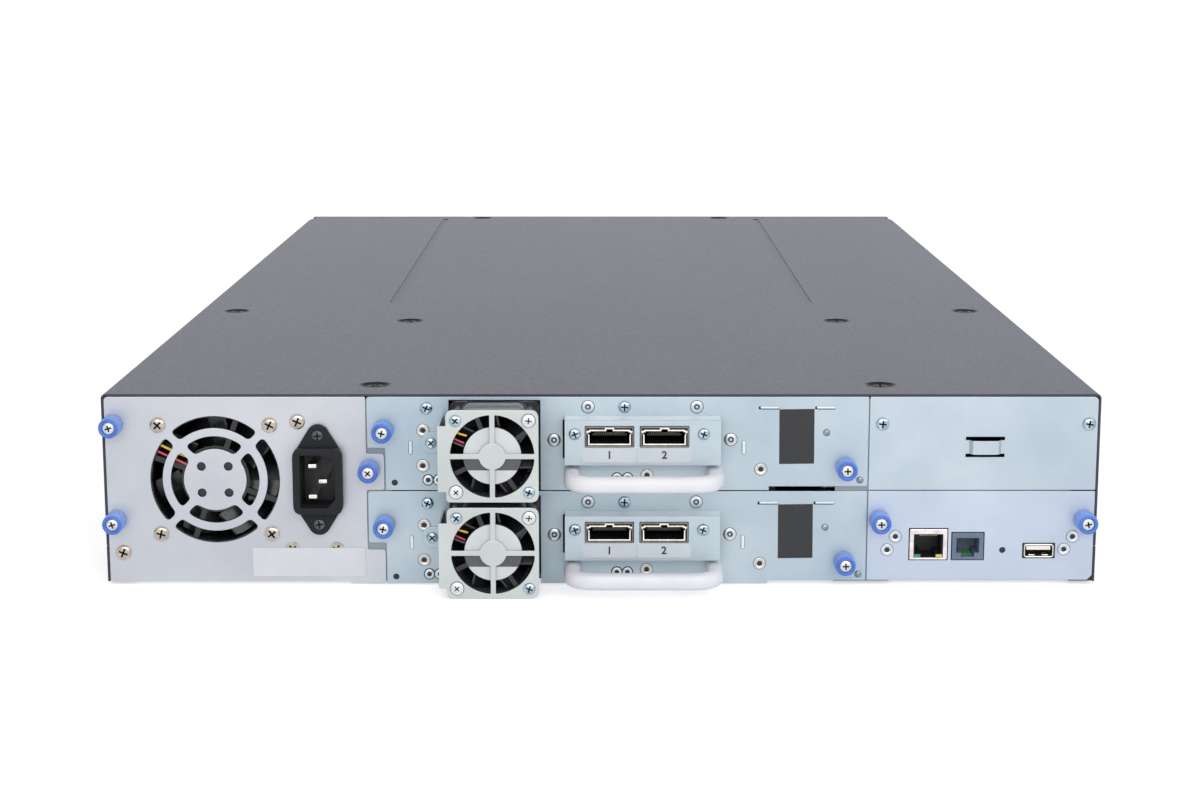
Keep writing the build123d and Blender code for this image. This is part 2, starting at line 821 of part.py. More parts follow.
def foot_screw(z0):
    """Screw in the foot of the fan guard."""
    return sled_left() + fan_u - grille_w / 2 - wing_w - foot_screw_out, z0 + foot_screw_v


def tape_drive(z0):
    """Half-height drive on the sled's tray, its cartridge mouth towards the picker."""
    x0, x1 = sled_body()
    middle = (x0 + x1) / 2 + drive_off
    y0 = panel_in + drive_back
    z = z0 + tray_lift + sled_wall_t
    body = block(middle - drive_w / 2, middle + drive_w / 2, y0, y0 + drive_len, z, z + drive_h)
    mouth_x = middle - mouth_off
    mouth_z = z + drive_h / 2
    end = y0 + drive_len
    body -= block(
        mouth_x - mouth_w / 2,
        mouth_x + mouth_w / 2,
        end - mouth_depth,
        end + 1,
        mouth_z - mouth_h / 2,
        mouth_z + mouth_h / 2,
    )
    return body


def square_corners(pitch):
    """The four corners of a square of holes."""
    half = pitch / 2
    return [(x, z) for x in (-half, half) for z in (-half, half)]


def fan_frame(size, depth, bore, pitch, hub_r, base_t):
    """Fan frame about the origin, from y 0 inwards: two square flanges, a barrel and four screw posts.

    The motor base stands on struts at the outer end.
    """
    square = chamfer(Rectangle(size, size).vertices(), size * fan_corner)
    frame = upright(square, 0, fan_flange_t) + upright(square, depth - fan_flange_t, depth)
    frame += upright(RegularPolygon(size / 2 - barrel_set, ring_facets), 0, depth)
    for x, z in square_corners(pitch):
        frame += Pos(x, 0, z) * upright(RegularPolygon(fan_post_r, hole_facets), 0, depth)
    frame -= upright(flats(bore, ring_facets), -1, depth + 1)
    frame -= [hole(x, z, -1, depth + 1, post_hole_r) for x, z in square_corners(pitch)]
    reach = bore + barrel_set
    struts = block(-reach, reach, fan_base_set, base_t, -strut_w / 2, strut_w / 2)
    struts += Rot(0, 90, 0) * struts
    base = upright(RegularPolygon(hub_r, ring_facets), fan_base_set, base_t)
    return frame + Rot(0, strut_turn, 0) * struts + base


def camber_line(start, control, end):
    """Points along a blade's camber line, a quadratic curve."""
    points = []
    for i in range(blade_steps + 1):
        t = i / blade_steps
        parts = zip(start, control, end)
        points.append(tuple((1 - t) ** 2 * a + 2 * t * (1 - t) * b + t * t * c for a, b, c in parts))
    return points


def fan_rotor(depth, bore, hub_r, base_t):
    """Hub cup with cambered blades, about the origin, in front of the motor base."""
    y0 = base_t + slip
    y1 = depth - hub_set
    tip = bore - tip_gap
    chord = (y1 - y0) / 2 - hub_set
    lean = blade_lean * (bore - hub_r) + blade_lead
    middle = (y0 + y1) / 2
    pull = (middle - 0.36 * chord, 0.56 * lean)  # draws the camber towards the air's entry
    near = camber_line((middle - chord, -lean), pull, (middle + chord, lean))
    far = [(y, z + blade_skin) for y, z in reversed(near)]
    blade = extrude(Plane.YZ.offset(hub_r - blade_root) * outline(near + far), tip - hub_r + 2 * blade_root)
    blade &= upright(RegularPolygon(tip, ring_facets), y0, y1)
    rotor = rod(0, 0, y0, y1, hub_r - hub_gap)
    for i in range(blade_count):
        rotor += Rot(0, 360 * i / blade_count, 0) * blade
    return rotor


def sled_fan_frame(z0):
    """Fan frame of a sled, standing proud of its panel."""
    x, z = fan_centre(z0)
    shape = fan_frame(fan_size, fan_depth, fan_bore, fan_hole_pitch, fan_hub_r + hub_gap, fan_base_t)
    return Pos(x, rear - fan_proud, z) * shape


def sled_fan_rotor(z0):
    """Rotor of a sled's fan."""
    x, z = fan_centre(z0)
    return Pos(x, rear - fan_proud, z) * fan_rotor(fan_depth, fan_bore, fan_hub_r, fan_base_t)


def fan_grille(z0):
    """Finger guard: a pierced plate on the fan, with a wing folded back to a foot on the panel."""
    x, z = fan_centre(z0)
    out = rear - fan_proud - grille_t
    half = grille_w / 2
    plate = Pos(x, 0, z) * upright(RectangleRounded(grille_w, grille_h, grille_round), out, out + grille_t)
    ring = Circle(grille_ring_r) - Circle(grille_hub_r)
    ring -= Rectangle(2 * fan_size, grille_bar) + Rectangle(grille_bar, 2 * fan_size)
    plate -= Pos(x, 0, z) * upright(ring, out - 1, out + grille_t + 1)
    fold = x - half - wing_w
    plate += block(fold, x - half + 2, out, out + grille_t, z - wing_low, z + wing_high)
    plate += block(fold, fold + grille_t, out, rear, z - wing_low, z + wing_high)
    foot_x, foot_z = foot_screw(z0)
    plate += block(
        foot_x - foot_w / 2, fold + grille_t, rear - grille_t, rear, foot_z - foot_h / 2, foot_z + foot_h / 2
    )
    plate -= hole(foot_x, foot_z, rear - 2 * grille_t, rear + 1, screw_hole_r)
    end = out + 2 * grille_t
    return plate - [hole(x + a, z + b, out - 1, end, screw_hole_r) for a, b in square_corners(fan_hole_pitch)]


def sas_screw_points(z0):
    """Screws on the face of the interface bracket."""
    middle = sled_left() + sas_u
    return [(middle - sas_screw_left, z0 + sas_screw_v), (middle + sas_screw_right, z0 + sas_screw_v)]


def sas_bracket(z0):
    """Raised bracket over the panel's window: a face with two flanges folded back to the panel."""
    middle = sled_left() + sas_u
    x0 = middle - sas_w / 2
    x1 = middle + sas_w / 2
    out = rear - sas_proud
    low = z0 + sas_low
    high = z0 + sas_high
    shape = block(x0, x1, out, out + sas_t, low, high)
    shape += block(x0, x1, out, rear, high - sas_t, high)
    shape += block(x0, x1, out, rear, low, low + sas_t)
    for x, z in port_centres(z0):
        half_w = port_w / 2 + port_fit
        half_h = port_h / 2 + port_fit
        shape -= block(x - half_w, x + half_w, out - 1, out + sas_t + 1, z - half_h, z + half_h)
    return shape - [hole(x, z, out - 1, out + 2 * sas_t, screw_hole_r) for x, z in sas_screw_points(z0)]


def sas_ports(z0):
    """Two interface cages, each with its contact tongue set back in the mouth."""
    out = rear - sas_proud - port_proud
    cages = []
    for x, z in port_centres(z0):
        cage = block(x - port_w / 2, x + port_w / 2, out, out + port_len, z - port_h / 2, z + port_h / 2)
        inner_w = port_w / 2 - port_wall
        inner_h = port_h / 2 - port_wall
        end = out + port_len - port_back
        cage -= block(x - inner_w, x + inner_w, out - 1, end, z - inner_h, z + inner_h)
        tongue_w = inner_w - tongue_side
        cage += block(x - tongue_w, x + tongue_w, out + tongue_set, end, z - tongue_t / 2, z + tongue_t / 2)
        key_wide, key_deep, key_tall = port_key
        key_z0 = z + inner_h - key_tall
        cage += block(x - key_wide / 2, x + key_wide / 2, out, out + key_deep, key_z0, z + inner_h)
        cages.append(cage)
    return Compound(children=cages)


def pull_handle(z0):
    """Bow handle: two posts on the panel joined by a bar, bent in one plane."""
    middle = sled_left() + sas_u + handle_off
    half = (handle_w - handle_t) / 2
    out = rear - handle_proud + handle_t / 2
    z = z0 + handle_v
    corners = [(middle - half, rear, z), (middle - half, out, z), (middle + half, out, z), (middle + half, rear, z)]
    path = FilletPolyline(*corners, radius=handle_bend)
    bar = chamfer(Rectangle(handle_t, handle_t).vertices(), handle_chamfer)
    return sweep(Plane(origin=corners[0], x_dir=(1, 0, 0), z_dir=(0, -1, 0)) * bar, path)


def sled_screws(z0):
    """Screws of a sled: fan guard, bracket and panel."""
    x, z = fan_centre(z0)
    guard = rear - fan_proud - grille_t
    found = [screw(x + a, z + b, guard) for a, b in square_corners(fan_hole_pitch)]
    found += [screw(sx, sz, rear - sas_proud) for sx, sz in sas_screw_points(z0)]
    points = panel_screw_points(z0)
    found += [screw(sx, sz, rear) for sx, sz in points[:2]]
    found.append(screw(*points[2], rear - grille_t))
    return Compound(children=found)


def psu_body():
    """Left and right side of the power supply's box."""
    left = -pan_x + wall_flange_w + pan_t + 0.4
    right = left_divider_x - flange_w / 2 - 0.4
    return left, right


def psu_thumb_points():
    """Thumbscrews of the power supply: two at the left, one in the tab at the right."""
    side = -width / 2 + psu_thumb_side
    return [
        (side, psu_thumb_high),
        (side, psu_thumb_low),
        (left_divider_x - psu_thumb_mid[0], psu_thumb_mid[1]),
    ]


def psu_extra_points():
    """Screws of the power supply's panel besides those of the fan and the inlet."""
    return [(-width / 2 + u, z) for u, z in psu_extra_screws]


def psu_fan_centre():
    """Axis of the power supply's fan."""
    return -width / 2 + psu_fan_x, psu_fan_z


def psu_grille():
    """Openings of the fan grille: two rings of slots between diagonal spokes, and four holes."""
    spokes = Rectangle(4 * psu_fan_size, psu_spoke) + Rectangle(psu_spoke, 4 * psu_fan_size)
    spokes = Rot(0, 0, 45) * spokes
    slots = []
    for low, high in (psu_grille_in, psu_grille_out):
        ring = Circle(high) - Circle(low) - spokes
        slots.append(chamfer(ring.vertices(), slot_round))
    return slots + [Pos(x, z) * flats(hub_hole_r) for x, z in square_corners(hub_hole_pitch)]


def psu_case():
    """Box of the power supply with its rear panel, whose tabs interlock with those of the sleds."""
    z0 = panel_bottom
    edge = left_divider_x - psu_gap
    tab = edge + tab_w
    step = edge - psu_step_x
    points = [(-pan_x, z0 + psu_step_h), (step, z0 + psu_step_h), (step, z0), (tab, z0)]
    points += [(tab, z0 + low_tab_top), (edge, z0 + low_tab_top), (edge, z0 + mid_tab_low)]
    points += [(tab, z0 + mid_tab_low), (tab, z0 + mid_tab_top), (edge, z0 + mid_tab_top)]
    points += [(edge, panel_top), (-pan_x + corner_cut, panel_top), (-pan_x, panel_top - corner_cut)]
    case = upright(outline(points), rear, panel_in)
    x0, x1 = psu_body()
    low = pan_t + slip
    high = flange_top - 1.5
    end = panel_in + psu_len
    box = block(x0, x1, rear + panel_t / 2, end, low, high)
    box -= block(x0 + psu_t, x1 - psu_t, rear - 1, end - psu_t, low + psu_t, high - psu_t)
    case += box
    fan_x, fan_z = psu_fan_centre()
    past = panel_in + cut_past
    case -= [Pos(fan_x, 0, fan_z) * upright(slot, rear - 1, past) for slot in psu_grille()]
    inlet, _ = inlet_centre()
    screws = [(fan_x + a, fan_z + b) for a, b in square_corners(psu_fan_pitch)] + psu_extra_points()
    screws += [(inlet, inlet_z + s * inlet_ear) for s in (-1, 1)]
    case -= [hole(x, z, rear - 1, past, screw_hole_r) for x, z in screws]
    case -= [hole(x, z, rear - 1, past, thumb_hole_r) for x, z in psu_thumb_points()]
    wide = socket_w / 2 + inlet_fit
    tall = socket_h / 2 + inlet_fit
    case -= block(inlet - wide, inlet + wide, rear - 1, past, inlet_z - tall, inlet_z + tall)
    for i in range(psu_vents):
        x = x0 + psu_vent_edge + i * psu_vent_pitch
        case -= block(x, x + psu_vent_w, end - 2 * psu_t, end + 1, low + psu_vent_edge, high - psu_vent_edge)
    return case


def psu_fan_frame():
    """Frame of the power supply's fan, screwed to the inside of the panel."""
    x, z = psu_fan_centre()
    shape = fan_frame(psu_fan_size, psu_fan_depth, psu_fan_bore, psu_fan_pitch, psu_hub_r + hub_gap, psu_base_t)
    return Pos(x, panel_in, z) * shape


def psu_fan_rotor():
    """Rotor of the power supply's fan."""
    x, z = psu_fan_centre()
    return Pos(x, panel_in, z) * fan_rotor(psu_fan_depth, psu_fan_bore, psu_hub_r, psu_base_t)


def psu_screws():
    """Screws of the power supply's panel."""
    x, z = psu_fan_centre()
    points = [(x + a, z + b) for a, b in square_corners(psu_fan_pitch)]
    return Compound(children=[screw(px, pz, rear) for px, pz in points + psu_extra_points()])


def inlet_centre():
    """Axis of the mains inlet."""
    return -width / 2 + inlet_x, inlet_z


def power_inlet():
    """Mains inlet: flange with two ears, raised rim, keyed socket with three blades, two screws."""
    x, z = inlet_centre()
    ears = [Pos(0, s * inlet_ear) * Circle(inlet_ear_r) for s in (-1, 1)]
    body = Rectangle(inlet_w - 3, inlet_h - 2)
    flange_face = make_hull((Sketch() + ears + [body]).edges())
    out = rear - inlet_flange_t
    rim_out = out - inlet_rim
    housing = upright(flange_face, out, rear)
    housing += upright(chamfer(Rectangle(inlet_w, inlet_h).vertices(), inlet_chamfer), rim_out, out)
    back = rim_out + socket_depth + socket_floor
    housing += upright(Rectangle(socket_w + 2 * socket_wall, socket_h + 2 * socket_wall), rear, back)
    keyed = Rectangle(socket_w, socket_h)
    keyed = chamfer([v for v in keyed.vertices() if v.X > 0], socket_chamfer)
    housing -= upright(keyed, rim_out - 1, rim_out + socket_depth)
    for s in (-1, 1):
        housing -= hole(0, s * inlet_ear, out - 1, rear + 1, screw_hole_r)
    tip = rim_out + blade_set
    floor = rim_out + socket_depth
    places = [(-blade_off, -blade_pitch / 2), (-blade_off, blade_pitch / 2), (blade_off, 0)]
    blades = [
        block(a - blade_w / 2, a + blade_w / 2, tip, floor, b - blade_t / 2, b + blade_t / 2) for a, b in places
    ]
    screws = [screw(0, s * inlet_ear, out) for s in (-1, 1)]
    return Compound(children=[Pos(x, 0, z) * piece for piece in [housing] + blades + screws])


def io_thumb_points():
    """Thumbscrews of the controller."""
    return [
        (right_divider_x + io_thumb_left[0], io_thumb_left[1]),
        (width / 2 - io_thumb_right[0], io_thumb_right[1]),
    ]


def io_body():
    """Left and right side of the controller's tray."""
    return right_divider_x + io_flange_w + 0.4, pan_x - wall_flange_w - pan_t - 0.4


def controller_panel():
    """Panel and tray of the controller, with cut-outs for its jacks."""
    left = right_divider_x + io_edge
    panel = block(left, pan_x, rear, panel_in, io_bottom, blank_edge_z - 0.9)
    x0, x1 = io_body()
    low = pan_t + slip
    end = panel_in + io_len
    past = panel_in + cut_past
    panel += block(x0, x1, rear + panel_t / 2, end, low, low + sled_wall_t)
    for i in range(2):
        x = right_divider_x + jack_x[i]
        half = jack_w[i] / 2 + cutout_gap
        top = board_z + jack_h[i] + cutout_gap
        panel -= block(x - half, x + half, rear - 1, past, board_z - cutout_gap, top)
    x = right_divider_x + usb_x
    half = usb_w / 2 + cutout_gap
    tall = usb_h / 2 + cutout_gap
    panel -= block(x - half, x + half, rear - 1, past, usb_z - tall, usb_z + tall)
    panel -= hole(right_divider_x + reset_x, reset_z, rear - 1, past, reset_r + reset_fit)
    return panel - [hole(tx, tz, rear - 1, past, thumb_hole_r) for tx, tz in io_thumb_points()]


def controller_board():
    """Controller board on four feet, with its processor, a heat sink and the reset switch's body."""
    x0, x1 = io_body()
    x0 += board_edge
    x1 -= board_edge
    y0 = panel_in + board_start
    y1 = panel_in + io_len - board_end
    low = pan_t + slip + sled_wall_t
    board = block(x0, x1, y0, y1, board_z - board_t, board_z)
    half = foot_size / 2
    for x in (x0 + foot_size, x1 - foot_size):
        for y in (y0 + foot_edge, y1 - foot_edge):
            board += block(x - half, x + half, y - half, y + half, low, board_z - board_t)
    chip_x = (x0 + x1) / 2
    near = y0 + chip_y - chip_size / 2
    left = chip_x - chip_size / 2
    top = board_z + chip_t
    board += block(left, left + chip_size, near, near + chip_size, board_z, top)
    for i in range(fin_count):
        x = left + fin_t + i * (chip_size - 3 * fin_t) / (fin_count - 1)
        board += block(x, x + fin_t, near, near + chip_size, top, top + fin_h)
    x = right_divider_x + reset_x
    switch_y = rear + reset_set + reset_len + reset_gap
    half = switch_size / 2
    board += block(x - half, x + half, switch_y, switch_y + switch_t, board_z, reset_z + half)
    x = right_divider_x + usb_x
    half = usb_w / 2 - board_t
    end = rear - usb_proud + usb_len
    return board + block(x - half, x + half, y0 + 1, end, board_z, usb_z - usb_h / 2)


def jack(i):
    """Modular jack: a box with a plug cavity and the latch notch below it."""
    x = right_divider_x + jack_x[i]
    base = board_z
    out = rear - jack_proud
    body = block(x - jack_w[i] / 2, x + jack_w[i] / 2, out, out + jack_len[i], base, base + jack_h[i])
    low = base + latch_h[i] + jack_sill
    body -= block(x - plug_w[i] / 2, x + plug_w[i] / 2, out - 1, out + plug_depth, low, low + plug_h[i])
    body -= block(x - latch_w[i] / 2, x + latch_w[i] / 2, out - 1, out + plug_depth, low - latch_h[i], low)
    return body


def usb_port():
    """Host port: a sheet shell round a contact tongue."""
    x = right_divider_x + usb_x
    out = rear - usb_proud
    shell = block(x - usb_w / 2, x + usb_w / 2, out, out + usb_len, usb_z - usb_h / 2, usb_z + usb_h / 2)
    half_w = usb_w / 2 - usb_wall
    half_h = usb_h / 2 - usb_wall
    end = out + usb_len - usb_back
    shell -= block(x - half_w, x + half_w, out - 1, end, usb_z - half_h, usb_z + half_h)
    top = usb_z + half_h - usb_wall
    wide = half_w - usb_wall
    shell += block(x - wide, x + wide, out + 2 * usb_wall, end, top - usb_tongue_t, top)
    return shell


def reset_button():
    """Recessed push button behind a hole in the controller's panel."""
    x = right_divider_x + reset_x
    return rod(x, reset_z, rear + reset_set, rear + reset_set + reset_len, reset_r)


def magazine_span(side):
    """Inner and outer X of a magazine. side is -1 at the left as seen from the rear, 1 at the right."""
    outer = side * (wall_in - slip)
    return side * (wall_in - slip - mag_w), outer


def magazine_rear():
    """Rear end of the magazines."""
    return pan_front - mag_len


def column_walls():
    """Y of each cross wall's rear face, from the rear of a magazine."""
    pitch = (mag_len - mag_wall) / mag_columns
    return [magazine_rear() + i * pitch for i in range(mag_columns + 1)]


def level_floors():
    """Z of each cartridge level's floor."""
    low = pan_t + slip + mag_floor
    return [low + i * (mag_h - mag_floor) / mag_levels for i in range(mag_levels)]


def mail_box(side):
    """Corners of the mail slot's drawer in the front column's top level."""
    walls = column_walls()
    inner, outer = magazine_span(side)
    inner += side * slip
    outer -= side * (mag_wall + slip)
    z = level_floors()[-1] + slip
    return inner, outer, walls[-2] + mag_wall + slip, pan_front, z, z + mail_h


def magazine(side):
    """Magazine open to the aisle: floor, back wall, cross walls with ledges, and a front with a grip recess."""
    inner, outer = magazine_span(side)
    low = pan_t + slip
    high = low + mag_h
    y0 = magazine_rear()
    y1 = pan_front
    back = outer - side * mag_wall
    frame = block(inner, outer, y0, y1, low, low + mag_floor)
    frame += block(outer, back, y0, y1, low, high)
    walls = column_walls()
    for y in walls:
        frame += block(inner, outer, y, y + mag_wall, low, high)
    for z in level_floors()[1:]:
        for i in range(mag_columns):
            near = walls[i] + mag_wall
            far = walls[i + 1]
            frame += block(inner, outer, near, near + ledge_w, z - ledge_t, z)
            frame += block(inner, outer, far - ledge_w, far, z - ledge_t, z)
    door = block(
        side * (bezel_x + mag_front_gap), side * pan_x, y1, front, front_bottom, front_top
    )
    grip_x = side * (bezel_x + pan_x) / 2
    door -= block(
        grip_x - grip_w / 2,
        grip_x + grip_w / 2,
        front - grip_depth,
        front + 1,
        grip_z - grip_h / 2,
        grip_z + grip_h / 2,
    )
    if side > 0:
        window = mail_box(side)
        z0 = window[4] - slip
        z1 = window[5] + slip
        frame -= block(window[0] - 1 - slip, window[1] + slip, walls[-1] - 1, y1 + 1, z0, z1)
        door -= block(window[0] - slip, window[1] + slip, y1 - 1, front + 1, z0, z1)
    return Compound(children=[frame, door])


def mail_slot():
    """Drawer for a single cartridge, with its own front."""
    side = 1
    inner, outer, y0, y1, z0, z1 = mail_box(side)
    drawer = block(inner, outer, y0, front, z0, z1)
    low = inner + side * mail_wall
    high = outer - side * mail_wall
    return drawer - block(low, high, y0 + mail_wall, pan_front, z0 + mail_wall, z1 + 1)


def rail_ends():
    """Rear and front end of the picker's rails."""
    return bay_front + rail_back, pan_front - rail_front


def rack_pitch():
    """Distance from tooth to tooth along the rack."""
    return pi * rack_module


def rack_teeth():
    """Outline of the rack in plan: a strip along the rail with trapezoid teeth towards the aisle."""
    y0, y1 = rail_ends()
    count = int((y1 - y0) / rack_pitch())
    root = rack_depth / 2
    wide = rack_pitch() / 4 + 0.3 * root - backlash / 4
    slim = rack_pitch() / 4 - 0.36 * root - backlash / 4
    points = [(rail_x + rail_t, y0), (rail_x, y0)]
    for i in range(count):
        middle = y0 + (i + 0.5) * rack_pitch()
        points += [(rail_x, middle - wide), (rail_x - rack_depth, middle - slim)]
        points += [(rail_x - rack_depth, middle + slim), (rail_x, middle + wide)]
    return outline(points + [(rail_x, y1), (rail_x + rail_t, y1)])


def rail_section():
    """Section of the right rail: upright for the carriage, foot on the pan, and a lip beside the magazine."""
    top = pan_t + rail_h
    foot = pan_t + rail_foot_t
    lip = pan_t + guide_h
    lip_x = aisle_x + guide_t
    points = [(rail_x, pan_t), (lip_x, pan_t), (lip_x, lip), (aisle_x, lip), (aisle_x, foot)]
    points += [(rail_x + rail_t, foot), (rail_x + rail_t, top), (rail_x, top)]
    return outline(points)


def robot_rails():
    """Two channel rails on the pan between the aisle and the magazines; the right one carries the rack."""
    right = upright(rail_section(), *rail_ends())
    left = mirror(right, Plane.YZ)
    right += Pos(0, 0, pan_t + rack_lift) * extrude(rack_teeth(), rack_h, dir=(0, 0, 1))
    return Compound(children=[left, right])


def carriage_place():
    """Rear end, middle and underside of the parked carriage."""
    y0 = bay_front + picker_start
    return y0, y0 + carriage_len / 2, pan_t + slip


def pinion_radius():
    """Pitch radius of the drive pinion."""
    return rack_module * pinion_teeth / 2


def pinion_place():
    """Axis of the drive pinion in X and Y, in step with a gap of the rack."""
    y0, middle, _ = carriage_place()
    rack_line = rail_x - rack_depth / 2
    x = rack_line - pinion_radius() - pinion_gap
    start = rail_ends()[0]
    slots = round((y0 + carriage_len - 14 - start) / rack_pitch())
    return x, start + slots * rack_pitch()


def robot_carriage():
    """Carriage plate on the pan between the rails, with the turntable's pin and the drive motor."""
    y0, middle, z = carriage_place()
    half = rail_x - rack_depth - 2 * slip
    plate = block(-half, half, y0, y0 + carriage_len, z, z + carriage_t)
    plate += pillar(0, middle, z + carriage_t, z + carriage_t + turn_t, turn_pin_r)
    x, y = pinion_place()
    plate += pillar(x, y, z + carriage_t, motor_base(), pinion_bore)
    top = motor_base()
    motor_back = x + pinion_radius() - motor_w
    plate += block(motor_back, x + motor_w / 2, y - motor_w / 2, y + motor_w / 2, top, top + motor_h)
    foot = y - pinion_radius() - rack_module - 1
    return plate + block(motor_back, x + motor_w / 2, foot - 4, foot, z + carriage_t, top + motor_h)


def motor_base():
    """Underside of the drive motor, above the pinion."""
    return pan_t + rack_lift + rack_h + slip


def drive_pinion():
    """Pinion on the motor's shaft, meshing with the rack."""
    x, y = pinion_place()
    pitch_r = pinion_radius()
    root = pitch_r - rack_depth / 2
    tip = pitch_r + rack_depth / 2 - 0.2
    turn = 2 * pi / pinion_teeth
    root_half = turn / 4 + 0.3 * rack_depth / 2 / pitch_r - backlash / 4 / pitch_r
    tip_half = turn / 4 - 0.4 * rack_depth / 2 / pitch_r - backlash / 4 / pitch_r
    points = []
    for i in range(pinion_teeth):
        middle = i * turn
        for r, a in ((root, -root_half), (tip, -tip_half), (tip, tip_half), (root, root_half)):
            points.append((r * cos(middle + a), r * sin(middle + a)))
    low = pan_t + rack_lift + slip
    face = outline(points) - Circle(pinion_bore + pin_fit)
    gear = extrude(face, motor_base() - slip - low, dir=(0, 0, 1))
    return Pos(x, y, low) * gear


def robot_turntable():
    """Round table that turns on the carriage's pin, with two posts that guide the cradle."""
    _, middle, z = carriage_place()
    z += carriage_t + slip
    table = pillar(0, middle, z, z + turn_t, turn_r)
    table -= pillar(0, middle, z - 1, z + turn_t + 1, turn_pin_r + pin_fit)
    for side in (-1, 1):
        x = side * (cradle_w / 2 + slip)
        wide = side * (cradle_w / 2 + slip + post_t)
        table += block(side * turn_r / 2, wide, middle - post_w, middle + post_w, z, z + turn_t)
        table += block(x, wide, middle - post_w, middle + post_w, z, flange_top - 2)
    return table


def robot_cradle():
    """Tray that holds one cartridge and rises along the posts, open towards the drives."""
    _, middle, z = carriage_place()
    z += carriage_t + turn_t + 2 * slip
    y0 = middle - cradle_len / 2
    y1 = middle + cradle_len / 2
    half = cradle_w / 2
    tray = block(-half, half, y0, y1, z, z + cradle_floor)
    for side in (-1, 1):
        tray += block(side * half, side * (half - cradle_wall), y0, y1, z, z + cradle_h)
    return tray + block(-half, half, y1 - cradle_wall, y1, z, z + cradle_h)


def nodes():
    """Every part of the library by its node name."""
    low, high = sled_bottoms()
    made = {
        "base_pan": base_pan(),
        "top_cover": top_cover(),
        "left_divider": left_divider(),
        "right_divider": right_divider(),
        "blank_plate": blank_plate(),
        "chassis_screws": chassis_screws(),
        "front_frame": front_frame(),
        "front_bezel": front_bezel(),
        "operator_display": operator_display(),
        "power_key": key(power_x),
        "psu_case": psu_case(),
        "psu_fan_frame": psu_fan_frame(),
        "psu_fan_rotor": psu_fan_rotor(),
        "psu_screws": psu_screws(),
        "power_inlet": power_inlet(),
        "controller_panel": controller_panel(),
        "controller_board": controller_board(),
        "ethernet_jack": jack(0),
        "serial_jack": jack(1),
        "usb_port": usb_port(),
        "reset_button": reset_button(),
        "left_magazine": magazine(-1),
        "right_magazine": magazine(1),
        "mail_slot": mail_slot(),
        "robot_rails": robot_rails(),
        "robot_carriage": robot_carriage(),
        "drive_pinion": drive_pinion(),
        "robot_turntable": robot_turntable(),
        "robot_cradle": robot_cradle(),
    }
    for i, x in enumerate(key_centres()):
        made[f"menu_key_{i + 1}"] = key(x)
    for i, (x, z) in enumerate(psu_thumb_points()):
        made[f"psu_thumbscrew_{i + 1}"] = thumbscrew(x, z)
    for side, (x, z) in zip(("left", "right"), io_thumb_points()):
        made[f"controller_thumbscrew_{side}"] = thumbscrew(x, z)
    for name, z0 in (("lower", low), ("upper", high)):
        made[f"sled_case_{name}"] = sled_case(z0)
        made[f"tape_drive_{name}"] = tape_drive(z0)
        made[f"fan_frame_{name}"] = sled_fan_frame(z0)
        made[f"fan_rotor_{name}"] = sled_fan_rotor(z0)
        made[f"fan_grille_{name}"] = fan_grille(z0)
        made[f"sas_bracket_{name}"] = sas_bracket(z0)
        made[f"sas_ports_{name}"] = sas_ports(z0)
        made[f"pull_handle_{name}"] = pull_handle(z0)
        made[f"sled_screws_{name}"] = sled_screws(z0)
        for side, (x, z) in zip(("left", "right"), sled_thumb_points(z0)):
            made[f"sled_thumbscrew_{name}_{side}"] = thumbscrew(x, z)
    return made


os.makedirs("parts", exist_ok=True)
for name, shape in nodes().items():
    export_step(shape, f"parts/{name}.step")
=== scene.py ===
from math import asin, cos, pi, radians, sin

import bmesh
import bpy
from mathutils import Matrix, Vector
from mathutils.geometry import convex_hull_2d


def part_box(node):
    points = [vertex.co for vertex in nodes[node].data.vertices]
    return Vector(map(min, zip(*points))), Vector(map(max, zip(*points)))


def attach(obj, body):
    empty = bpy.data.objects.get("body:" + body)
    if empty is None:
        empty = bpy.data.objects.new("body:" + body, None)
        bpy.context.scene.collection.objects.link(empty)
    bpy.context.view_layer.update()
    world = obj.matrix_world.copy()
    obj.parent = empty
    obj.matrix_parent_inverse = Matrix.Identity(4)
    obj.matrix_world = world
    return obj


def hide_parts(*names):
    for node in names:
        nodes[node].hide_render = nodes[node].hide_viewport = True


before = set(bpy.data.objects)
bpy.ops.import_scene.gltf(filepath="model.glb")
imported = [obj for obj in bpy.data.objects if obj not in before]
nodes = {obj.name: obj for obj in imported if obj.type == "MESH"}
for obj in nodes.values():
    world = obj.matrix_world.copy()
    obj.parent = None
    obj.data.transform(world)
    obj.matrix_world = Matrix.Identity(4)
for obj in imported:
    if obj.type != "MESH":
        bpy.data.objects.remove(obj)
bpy.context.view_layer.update()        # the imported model, which stays where it is
scene = bpy.context.scene
print("tape library: frame loaded with", len(nodes), "nodes")


# colours are written as sRGB hex and turned to linear here
def colourOf(code):
    parts = [int(code[i:i + 2], 16) / 255 for i in (1, 3, 5)]
    return [c / 12.92 if c <= 0.04045 else ((c + 0.055) / 1.055) ** 2.4 for c in parts] + [1.0]


# one node with its settings and links; a link may name a node, whose first output is then meant
def addNode(tree, kind, values=None, links=None, **traits):
    node = tree.nodes.new(kind)
    for trait, value in traits.items():
        setattr(node, trait, value)
    for key, value in (values or {}).items():
        node.inputs[key].default_value = value
    for key, source in (links or {}).items():
        outlet = source if isinstance(source, bpy.types.NodeSocket) else source.outputs[0]
        tree.links.new(outlet, node.inputs[key])
    return node


# one Math node; each side is a number, a node or a socket
def maths(tree, operation, *sides):
    values = {key: side for key, side in enumerate(sides) if isinstance(side, (int, float))}
    links = {key: side for key, side in enumerate(sides) if key not in values}
    return addNode(tree, "ShaderNodeMath", values, links, operation=operation)


def boxMm(node):
    low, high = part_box(node)
    return low * 1000, high * 1000


# ---- finishes: every pattern reads Object coordinates, so 1000 / size in mm is its scale

